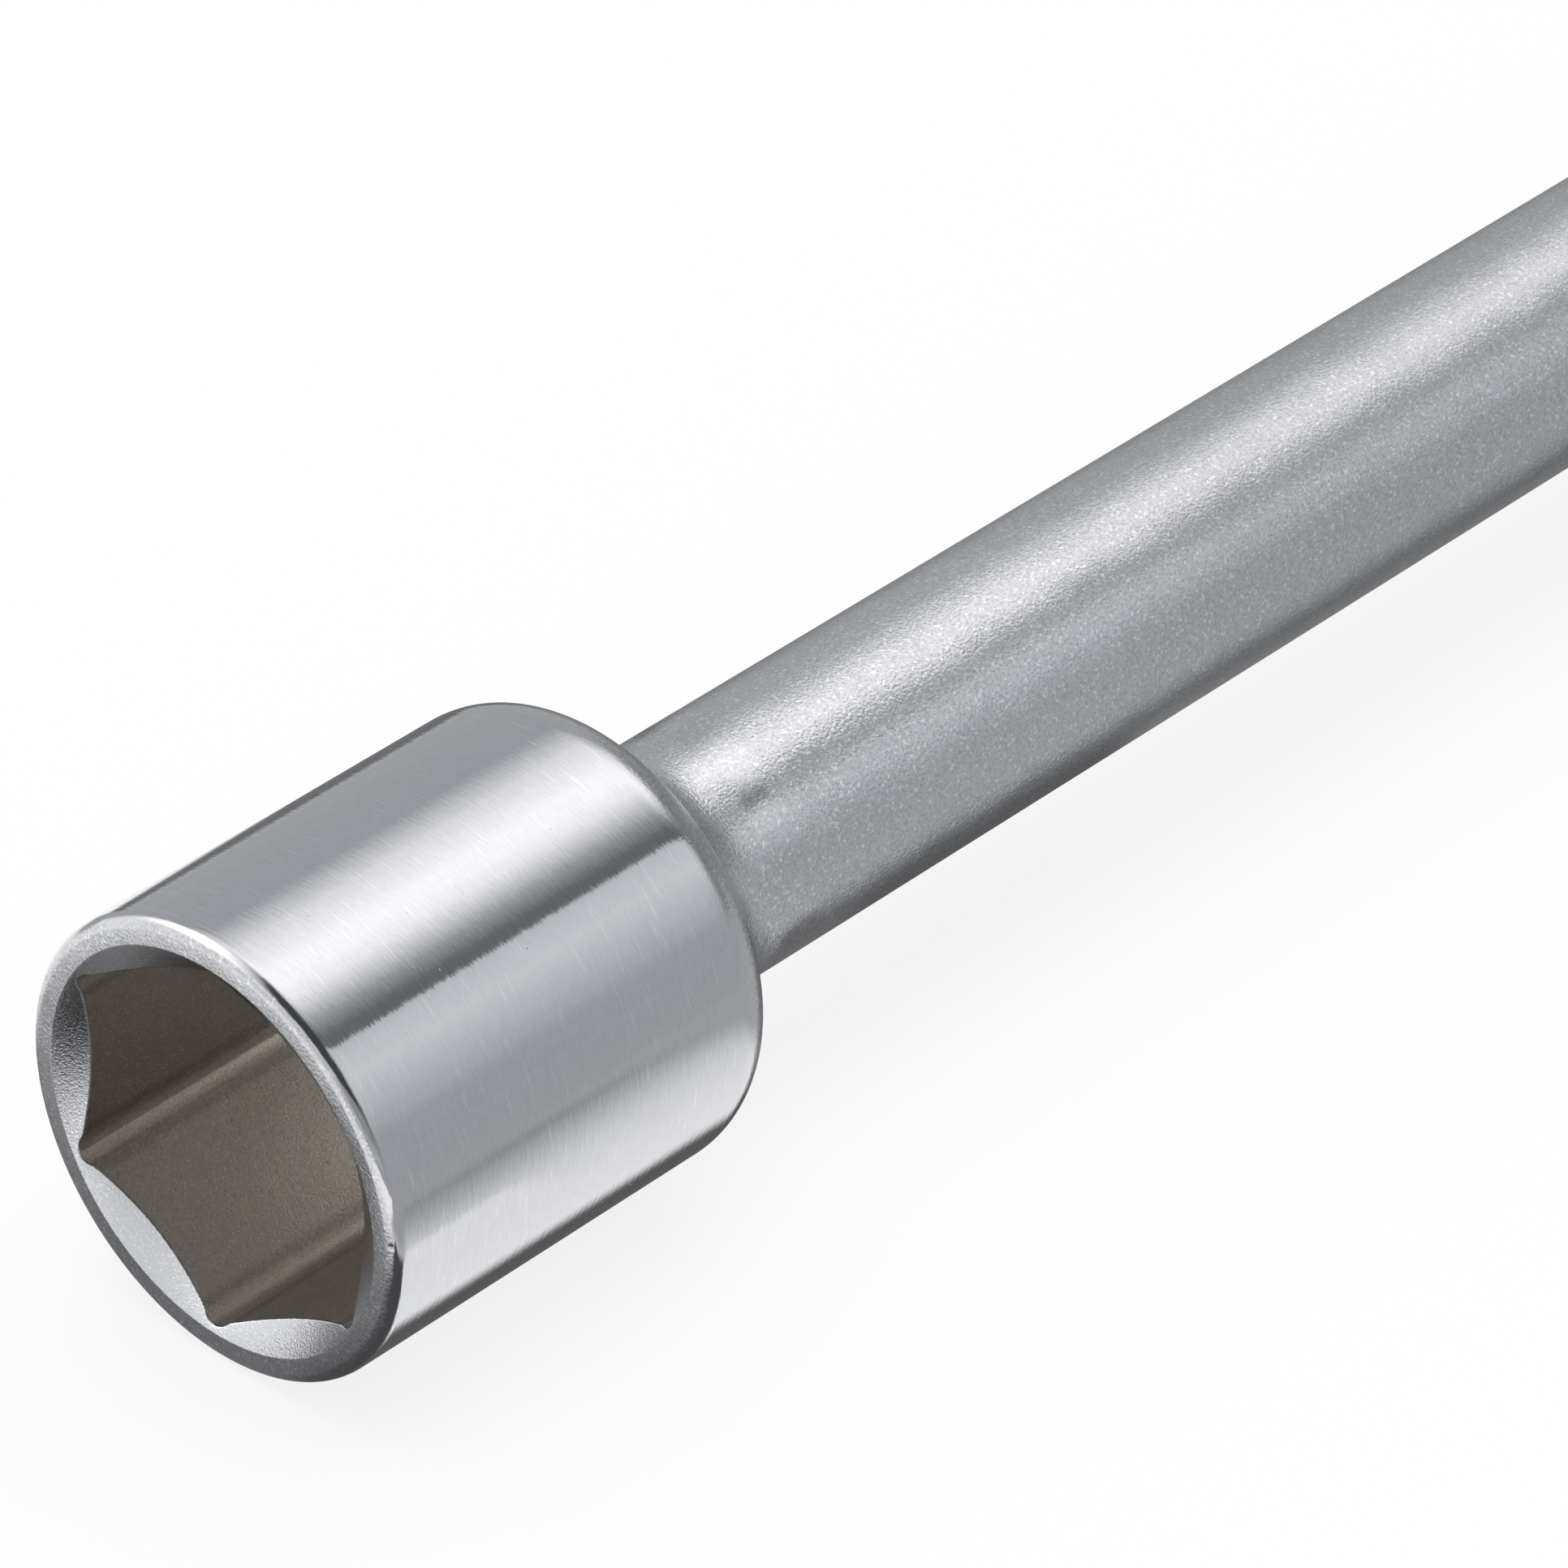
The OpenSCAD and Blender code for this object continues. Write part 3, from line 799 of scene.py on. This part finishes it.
def makeHead():
    h = head
    outline = rounded([
        (h["boreEnd"], 0, 0),
        (h["boreEnd"], h["bore"], 0),
        (h["start"] + h["boreMouth"], h["bore"], 0),
        (h["start"], h["bore"] + h["boreMouth"], 0),
        (h["start"], h["lip"], h["lipRound"]),
        (h["shoulderCorner"], h["radius"], h["shoulderRound"]),
        (h["end"], h["radius"], h["endRound"]),
        (h["end"], 0, 0),
    ], steps=14)
    piece = lathe("barHead", outline, "X", (0, 0, 0), [headChrome], columns=384)
    bore, chamfer, flatAt, past = h["barBore"], h["barChamfer"], h["flatAt"], 2
    half = [
        (flatAt - chamfer, bore, 0),
        (flatAt, bore + chamfer, 0),
        (flatAt, h["flatRadius"], 0),
        (h["radius"] + past, h["flatRadius"], 0),
        (h["radius"] + past, 0, 0),
    ]
    crossOutline = rounded([(-y, r, f) for y, r, f in reversed(half)] + half)
    crossBore = lathe("crossBore", crossOutline, "Y", (h["barX"], 0, 0), [headChrome], columns=160)
    pocketOutline = rounded([
        (h["barX"], 0, 0),
        (h["barX"], h["pocket"], 0),
        (h["screwX"], h["pocket"], 0),
        (h["screwX"], h["screwRadius"], 0),
        (h["end"] - h["screwChamfer"], h["screwRadius"], 0),
        (h["end"] + past, h["screwRadius"] + h["screwChamfer"] + past, 0),
        (h["end"] + past, 0, 0),
    ])
    pocket = lathe("pocket", pocketOutline, "X", (0, 0, 0), [headChrome], columns=96)
    hole = pinHole("headPinHole", h["pinX"], 0, h["pinRadius"], h["pinChamfer"], h["radius"])
    cut(piece, crossBore, pocket, hole)
    return piece


seat(makeHead(), "wrench", "bar_head")


# Rolled pins: a slotted tube with chamfered ends
rolledPins = {
    "recess": 0.45,
    "wall": 0.55,
    "slot": 0.4,
    "chamfer": 0.25,
}


def makeRolledPin(name, x, y, diameter, through, steps=40):
    p = rolledPins
    outer, inner = diameter / 2, diameter / 2 - p["wall"]
    top = through / 2 - p["recess"]
    gap = p["slot"] / 2
    chamfered = top - p["chamfer"] * 2
    levels = [(-top, p["chamfer"]), (-chamfered, 0), (chamfered, 0), (top, p["chamfer"])]
    outerGap, innerGap = math.asin(gap / outer), math.asin(gap / inner)
    vertices = []
    for z, shrink in levels:
        for i in range(steps + 1):
            a = outerGap + (2 * math.pi - 2 * outerGap) * i / steps
            vertices.append((x + (outer - shrink) * math.cos(a), y + (outer - shrink) * math.sin(a), z))
        for i in range(steps, -1, -1):
            a = innerGap + (2 * math.pi - 2 * innerGap) * i / steps
            vertices.append((x + inner * math.cos(a), y + inner * math.sin(a), z))
    ring = 2 * (steps + 1)
    faces = []
    for low in range(0, (len(levels) - 1) * ring, ring):
        for i in range(ring):
            after = (i + 1) % ring
            faces.append([low + i, low + after, low + ring + after, low + ring + i])
    for base in (0, (len(levels) - 1) * ring):
        for i in range(steps):
            faces.append([base + i, base + i + 1, base + ring - 2 - i, base + ring - 1 - i])
    return makePiece(name, vertices, faces, [pinSteel])


seat(makeRolledPin("headPin", head["pinX"], 0, 2 * head["pinRadius"], 2 * head["radius"]),
     "wrench", "head_pin")


# The bar, with three grooves for the ball and one for each rubber ring
bar = {
    "x": head["barX"],
    "radius": 4.5,
    "end": 85,
    "endChamfer": 0.6,
    "detents": (-61.5, 0, 61.5),
    "detentCentre": 6.15,    # from the bar's axis to the middle of the groove's round section
    "detentSection": 2.5,
    "ringAt": 70.3,
    "ringCentre": 5.4,
    "ringSection": 1.55,
    "edge": 0.06,            # softened groove edges
    "pinAt": 79.5,
    "pinRadius": 1.25,
    "pinChamfer": 0.1,
}


def grooveCorners(y, centre, section, radius, edge, steps=14):
    # outline corners of a round groove in a bar of that radius
    half = math.degrees(math.acos((centre - radius) / section))
    points = arc(y, centre, section, 270 - half, 270 + half, steps)
    return [(along, r, edge if i in (0, steps) else 0) for i, (along, r) in enumerate(points)]


def makeBar():
    b = bar
    end = [
        (b["end"] - b["endChamfer"], b["radius"], 0),
        (b["end"], b["radius"] - b["endChamfer"], 0),
        (b["end"], 0, 0),
    ]
    corners = [(-y, r, fillet) for y, r, fillet in reversed(end)]
    grooves = [(y, b["detentCentre"], b["detentSection"]) for y in b["detents"]]
    grooves += [(y, b["ringCentre"], b["ringSection"]) for y in (-b["ringAt"], b["ringAt"])]
    for y, centre, section in sorted(grooves):
        corners += grooveCorners(y, centre, section, b["radius"], b["edge"])
    piece = lathe("crossBar", rounded(corners + end, steps=3), "Y", (b["x"], 0, 0), [barChrome], columns=192)
    holes = [
        pinHole(name, b["x"], y, b["pinRadius"], b["pinChamfer"], b["radius"])
        for name, y in (("leftBarHole", -b["pinAt"]), ("rightBarHole", b["pinAt"]))
    ]
    cut(piece, *holes)
    return piece


seat(makeBar(), "handle_bar", "cross_bar")


# What each end of the bar carries
knob = {
    "innerFace": 74,
    "length": 16,
    "radius": 8.75,
    "bore": bar["radius"],
    "boreDepth": 11,
    "innerEdge": 1.6,
    "dome": 6,
    "boreMouth": 0.15,
    "pinChamfer": 0.18,
}
washer = {
    "innerFace": 72.1,
    "thickness": 1.6,
    "radius": 7,
    "hole": 4.6,
    "edge": 0.22,
    "burr": 0.08,
}
bumperRing = {
    "at": bar["ringAt"],
    "circle": bar["ringCentre"],
    "section": 1.5,
    "flash": 0.045,    # thin line where the mould's halves met
}


def makeKnob(name, side):
    k = knob
    outline = rounded([
        (k["boreDepth"], 0, 0),
        (k["boreDepth"], k["bore"], 0),
        (k["boreMouth"], k["bore"], 0),
        (0, k["bore"] + k["boreMouth"], 0),
        (0, k["radius"], k["innerEdge"]),
        (k["length"], k["radius"], k["dome"]),
        (k["length"], 0, 0),
    ], steps=18)
    centre = (bar["x"], side * k["innerFace"], 0)
    piece = lathe(name, outline, "Y", centre, [knobChrome], side=side, columns=256)
    pinAt = side * bar["pinAt"]
    cut(piece, pinHole(name + "Hole", bar["x"], pinAt, bar["pinRadius"], k["pinChamfer"], k["radius"]))
    return piece


def makeWasher(name, side):
    w = washer
    outline = rounded([
        (0, w["hole"], w["burr"]),
        (0, w["radius"], w["edge"]),
        (w["thickness"], w["radius"], w["burr"]),
        (w["thickness"], w["hole"], w["edge"]),
    ], steps=4)
    centre = (bar["x"], side * w["innerFace"], 0)
    return lathe(name, outline, "Y", centre, [washerZinc], side=side, columns=160, closed=True)


def makeBumperRing(name, side):
    g = bumperRing
    outline = []
    steps = 40
    for i in range(steps):
        a = 2 * math.pi * i / steps
        section = g["section"] + (g["flash"] if i % (steps // 2) == 0 else 0)
        outline.append((section * math.sin(a), g["circle"] + section * math.cos(a)))
    centre = (bar["x"], side * g["at"], 0)
    return lathe(name, outline, "Y", centre, [ringRubber], columns=144, closed=True, crease=60)


for sideName, side in (("left", -1), ("right", 1)):
    seat(makeKnob(sideName + "Knob", side), "handle_bar", sideName + "_knob")
    knobPin = makeRolledPin(
        sideName + "KnobPin", bar["x"], side * bar["pinAt"], 2 * bar["pinRadius"], 2 * knob["radius"])
    seat(knobPin, "handle_bar", sideName + "_knob_pin")
    seat(makeWasher(sideName + "Washer", side), "stop_washers", sideName + "_washer")
    ring = makeBumperRing(sideName + "BumperRing", side)
    seat(ring, "handle_bar", sideName + "_bumper_ring")


# The detent inside the head: ball, spring and set screw
detent = {
    "ballX": 267.635,
    "ballRadius": 2.4,
    "springX": 269.35,
    "coilRadius": 2.15,
    "wireRadius": 0.25,
    "springLength": 4.8,
    "turns": 5,
    "screwX": head["screwX"],
    "screwLength": 5,
    "screwRadius": head["screwRadius"],
    "screwChamfer": head["screwChamfer"],
    "key": 3,              # across the flats
    "keyDepth": 2.5,
    "keyChamfer": 0.15,
    "keyLead": 0.4,        # depth of the countersink, as a share of its radius
}


def makeBall():
    outline = arc(0, 0, detent["ballRadius"], 180, 0, 48)
    outline[0], outline[-1] = (outline[0][0], 0), (outline[-1][0], 0)
    return lathe("detentBall", outline, "X", (detent["ballX"], 0, 0), [ballSteel], columns=96)


def makeSpring(sides=12, perTurn=32):
    d = detent
    vertices, faces = [], []
    count = d["turns"] * perTurn
    rise = d["springLength"] / d["turns"] / (2 * math.pi)
    for i in range(count + 1):
        turn = 2 * math.pi * i / perTurn
        out = Vector((0, math.sin(turn), -math.cos(turn)))
        onwards = Vector((rise, d["coilRadius"] * math.cos(turn), d["coilRadius"] * math.sin(turn)))
        up = onwards.normalized().cross(out)
        centre = Vector((d["springX"] + rise * turn, 0, 0)) + out * d["coilRadius"]
        for side in range(sides):
            a = 2 * math.pi * side / sides
            vertices.append(centre + (out * math.cos(a) + up * math.sin(a)) * d["wireRadius"])
    for ring in range(0, count * sides, sides):
        for side in range(sides):
            after = (side + 1) % sides
            faces.append([ring + side, ring + after, ring + sides + after, ring + sides + side])
    faces.append(list(range(sides)))
    faces.append([count * sides + side for side in range(sides)])
    return makePiece("detentSpring", vertices, faces, [wireSteel])


def makeScrew():
    d = detent
    chamfer, end, past = d["screwChamfer"], d["screwLength"], 0.5
    outline = rounded([
        (0, 0, 0),
        (0, d["screwRadius"] - chamfer, 0),
        (chamfer, d["screwRadius"], 0),
        (end - chamfer, d["screwRadius"], 0),
        (end, d["screwRadius"] - chamfer, 0),
        (end, 0, 0),
    ])
    piece = lathe("detentScrew", outline, "X", (d["screwX"], 0, 0), [screwSteel], columns=96)
    keyCorner = d["key"] / 2 / math.cos(math.radians(30))
    keyEnd = end - d["keyDepth"]
    keyOutline = [(keyEnd, 0), (keyEnd, keyCorner), (end + past, keyCorner), (end + past, 0)]
    key = lathe("key", keyOutline, "X", (d["screwX"], 0, 0), [screwSteel], columns=6)
    lead = keyCorner + d["keyChamfer"]
    leadOutline = [(end - lead * d["keyLead"], 0), (end, lead), (end + past, lead), (end + past, 0)]
    countersink = lathe("keyLead", leadOutline, "X", (d["screwX"], 0, 0), [screwSteel], columns=64)
    cut(piece, key, countersink)
    return piece


seat(makeBall(), "ball", "detent_ball")
seat(makeSpring(), "wrench", "detent_spring")
seat(makeScrew(), "wrench", "detent_screw")


# The studio. Angles run round the tool's axis: 0 is the far side of the table, 90 overhead and
# 180 the near side.
studio = {
    "softboxes": (  # angle, brightness
        (0, 0.51), (42, 0.52), (61, 1.16), (79, 1.56), (87, 1.54), (95, 1.34), (109, 0.49),
        (117, 0.21), (122.8, 0.19), (123.8, 0.80), (138, 0.92), (168, 0.52), (180, 0.49),
    ),
    # x of the direction where a bright wall begins, where it is whole and where it ends, and the
    # brightness at the last two
    "front": (-0.1, -0.4, -1.0, 1.2, 0.9),
    "frontSlant": 0.2,             # the wall comes nearer on the far side of the table
    "frontNear": (-0.5, -0.1, 0.55),  # and is dimmer on the near side: up to y, whole from y, share left
    "frontTop": (0.2, 0.6, 2.4),   # a lamp on top: height where it begins and is whole, brightness
    "back": (0.80, 0.95, 0.28),    # the far end is dark: x where it begins and is whole, brightness
    # a dark gap between that wall and the near softboxes: x, how far it is whole and reaches each
    # way, brightness
    "gap": (-0.5, 0.27, 0.63, 0.08),
    "gapNear": (0.05, 0.6),        # it is whole up to this y of the direction and gone at the other
    "gapHeight": 0.5,              # it opens from the table up to this height
    "coolRange": (0.5, 1.2),       # greys are cool up to the first brightness, neutral from the second
    "coolShift": (-0.06, 0.005, 0.02),    # what cool changes in red, green and blue
    "plainFill": 0.55,     # level of the surroundings on plain surfaces
    "keyLevel": 0.45,      # and what the lamp adds
    "keyTurn": (-0.16, 0.22, 0),
    "keySoftness": 1.1,    # the lamp's angle, in radians
    "cameraFloor": 0.84,   # share of the floor's white that shadows don't reach
    "floorColour": "#ffffff",
    "floorGrain": (0.4, 0.01),     # the table's texture: size and depth in mm
    "floorHeight": -8.75,
    "floorRadius": 8000,
    "whiteSheet": 1.12,    # the table's own brightness in the metal
    # sheets on it that only show in the metal, the dark ones right under the tool being painted shade of the
    # gap beneath it: x and y range, edge softness in mm, brightness, coolness
    "sheets": (
        (-4000, 4000, -4000, -19.5, 19, 0.50, 0.25),
        (-4000, 4000, -4000, -60, 40, 0.50, 1.0),
        (0, 300, -33, -28, 5, 0.42, 0.4),
        (28, 300, -40, -8, 7, 0.53, 0.5),
        (-30, 14, -400, -24, 14, 0.50, 0.4),
        (-90, -18, -60, -13, 6, 1.30, 0.25),
        (-13.5, 28, 6, 24, 10, 0.26, 0.25),
        (-17.5, -8, 3, 12, 5, 0.52, 0.25),
        (-11, 5, -12, 11, 8, 0.21, 0.25),
        (-12.5, -4, 1.5, 8, 4, 0.03, 0.25),
        (-11.5, 2, -20, -3, 3, 0.09, 0.25),
        (2, 14, -18, -7.6, 1.6, 1.12, 1.0),
        (28, 300, -8.8, 20, 4, 0.10, 0.25),
        (2, 300, -7.6, 20, 1.6, 0.12, 0.25),
        (25.5, 32, -8, 20, 3, 0.18, 0.25),
        (47, 300, -5, 20, 2.5, 0.28, 0.25),
        (25, 300, 16, 70, 8, 0.19, 0.25),
        (-20, 4000, 70, 4000, 25, 0.49, 1.0),
    ),
}


def studioGrey(brightness, coolness=1.0):
    # a linear grey, a little cool where it is dark
    coolest, neutral = studio["coolRange"]
    cool = coolness * max(0.0, min(1.0, (neutral - brightness) / (neutral - coolest)))
    return [brightness * (1 + cool * shift) for shift in studio["coolShift"]] + [1.0]


def whiteForEye(add):
    # two values: 1 where the camera looks, and 1 where a mirror or glass does
    path = add("LightPath")
    sharp = add("Math", {
        0: path.outputs["Is Glossy Ray"], 1: path.outputs["Is Transmission Ray"],
    }, operation="MAXIMUM")
    return path.outputs["Is Camera Ray"], sharp


def makeWorld():
    world = bpy.data.worlds.new("studio")
    bpy.context.scene.world = world
    world.use_nodes = True
    world.cycles.sampling_method = "NONE"
    add = nodeAdder(world.node_tree)
    direction = add("TexCoord").outputs["Generated"]
    way = add("SeparateXYZ", {"Vector": direction})
    angle = add("Math", {0: way.outputs["Z"], 1: way.outputs["Y"]}, operation="ARCTAN2")
    share = add("Math", {0: angle, 1: math.pi}, operation="DIVIDE")
    ramp = add("ValToRGB", {"Fac": share})
    stops = ramp.color_ramp.elements
    stops.remove(stops[1])
    stops[0].color = studioGrey(studio["softboxes"][0][1])
    for degrees, brightness in studio["softboxes"][1:]:
        stops.new(degrees / 180).color = studioGrey(brightness)
    frontStart, frontWhole, frontEnd, wholeLevel, endLevel = studio["front"]
    slanted = add("Math", {
        0: way.outputs["Y"], 1: -studio["frontSlant"], 2: way.outputs["X"],
    }, operation="MULTIPLY_ADD")
    front = add("MapRange", {
        "Value": slanted, "From Min": frontWhole, "From Max": frontStart, "To Min": 1.0, "To Max": 0.0,
    })
    frontShare = add("MapRange", {"Value": slanted, "From Min": frontEnd, "From Max": frontWhole})
    wall = add("Mix", {
        "Factor": frontShare, 6: studioGrey(endLevel), 7: studioGrey(wholeLevel),
    }, data_type="RGBA")
    nearFrom, nearTo, nearShare = studio["frontNear"]
    dimming = add("MapRange", {
        "Value": way.outputs["Y"], "From Min": nearFrom, "From Max": nearTo,
        "To Min": nearShare, "To Max": 1.0,
    })
    dimmedWall = shaded(add, wall.outputs[2], dimming)
    topStart, topWhole, topLevel = studio["frontTop"]
    top = add("MapRange", {
        "Value": way.outputs["Z"], "From Min": topStart, "From Max": topWhole,
    }, interpolation_type="SMOOTHSTEP")
    frontLevel = add("Mix", {"Factor": top, 6: dimmedWall, 7: studioGrey(topLevel)}, data_type="RGBA")
    backStart, backWhole, backLevel = studio["back"]
    back = add("MapRange", {
        "Value": way.outputs["X"], "From Min": backStart, "From Max": backWhole,
    }, interpolation_type="SMOOTHSTEP")
    gapAt, gapWhole, gapGone, gapLevel = studio["gap"]
    strip = band(add, way.outputs["X"], gapAt, gapWhole, gapGone, blend="LINEAR")
    nearWhole, nearGone = studio["gapNear"]
    near = add("MapRange", {
        "Value": way.outputs["Y"], "From Min": nearWhole, "From Max": nearGone, "To Min": 1.0, "To Max": 0.0,
    })
    high = add("MapRange", {"Value": way.outputs["Z"], "From Min": 0.0, "From Max": studio["gapHeight"]})
    gap = product(add, strip, near, high)
    eye, sharp = whiteForEye(add)
    plain = add("Math", {0: 1.0, 1: sharp}, operation="SUBTRACT")
    fill = [studio["plainFill"]] * 3 + [1.0]
    seen = ramp.outputs[0]
    for share, colour in ((front, frontLevel.outputs[2]), (gap, studioGrey(gapLevel)),
                          (back, studioGrey(backLevel)), (plain, fill), (eye, (1, 1, 1, 1))):
        seen = add("Mix", {"Factor": share, 6: seen, 7: colour}, data_type="RGBA").outputs[2]
    light = add("Background", {"Color": seen, "Strength": 1.0})
    add("OutputWorld", {"Surface": light})


def makeFloor():
    material, add, spot = startMaterial("pageWhiteTable")
    place = add("SeparateXYZ", {"Vector": spot})
    shade = studioGrey(studio["whiteSheet"])
    # the sheets show only in the metal; the dark ones right under the tool are painted shade
    for xLow, xHigh, yLow, yHigh, soft, brightness, coolness in studio["sheets"]:
        masks = []
        for axis, low, high in (("X", xLow, xHigh), ("Y", yLow, yHigh)):
            middle, half = (low + high) / 2 * mm, (high - low) / 2
            whole, gone = (half - soft / 2) * mm, (half + soft / 2) * mm
            masks.append(band(add, place.outputs[axis], middle, whole, gone))
        shade = add("Mix", {
            "Factor": product(add, *masks), 6: shade, 7: studioGrey(brightness, coolness),
        }, data_type="RGBA").outputs[2]
    eye, sharp = whiteForEye(add)
    colour = add("Mix", {"Factor": sharp, 6: (1, 1, 1, 1), 7: shade}, data_type="RGBA")
    glow = add("Emission", {"Color": colour.outputs[2], "Strength": 1.0})
    grainSize, grainDepth = studio["floorGrain"]
    speck = add("TexNoise", {"Vector": spot, "Scale": 1 / (grainSize * mm), "Detail": 3})
    grain = add("Bump", {"Height": speck, "Distance": grainDepth * mm, "Strength": 0.5})
    paper = add("BsdfDiffuse", {"Color": linear(studio["floorColour"]), "Normal": grain})
    dimmed = product(add, eye, studio["cameraFloor"])
    share = add("Math", {0: dimmed, 1: sharp}, operation="MAXIMUM")
    surface = add("MixShader", {"Fac": share, 1: paper, 2: glow})
    add("OutputMaterial", {"Surface": surface})
    material.cycles.emission_sampling = "NONE"
    columns = 64
    ring = [(x, y, studio["floorHeight"]) for x, y in arc(0, 0, studio["floorRadius"], 0, 360, columns)[:-1]]
    floor = makePiece("tableTop", ring, [list(range(columns))], [material])
    floor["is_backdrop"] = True


def makeKeyLamp():
    lamp = bpy.data.lights.new("keyLamp", "SUN")
    lamp.angle = studio["keySoftness"]
    lamp.energy = studio["keyLevel"] * math.pi / math.cos(abs(studio["keyTurn"][1]))
    holder = bpy.data.objects.new("keyLamp", lamp)
    holder.rotation_euler = studio["keyTurn"]
    holder.visible_glossy = False  # the softboxes above are what the metal shows
    bpy.context.scene.collection.objects.link(holder)


makeWorld()
makeFloor()
makeKeyLamp()
print("studio lit")


# The camera looks down into the socket's mouth with a long lens
camera = {
    "spot": (-175.05, -189.05, 192.58),
    "forward": (0.60228, 0.56036, -0.56855),
    "lens": 220.5,
    "sensor": 36,
}


def makeCamera():
    lens = bpy.data.cameras.new("photoCamera")
    lens.sensor_fit = "HORIZONTAL"
    lens.sensor_width = camera["sensor"]
    lens.lens = camera["lens"]
    lens.clip_start = 0.01
    lens.clip_end = 50
    holder = bpy.data.objects.new("photoCamera", lens)
    holder.location = Vector(camera["spot"]) * mm
    holder.rotation_mode = "QUATERNION"
    holder.rotation_quaternion = Vector(camera["forward"]).to_track_quat("-Z", "Y")
    bpy.context.scene.collection.objects.link(holder)
    bpy.context.scene.camera = holder


makeCamera()
bpy.context.scene.view_settings.view_transform = "Standard"

bpy.context.view_layer.update()
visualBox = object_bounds()
boxes = {"cad": [list(corner) for corner in cadBox], "visual": [list(corner) for corner in visualBox]}
print("boxes in mm:", [[round(v * 1000, 2) for corner in pair for v in corner] for pair in boxes.values()])
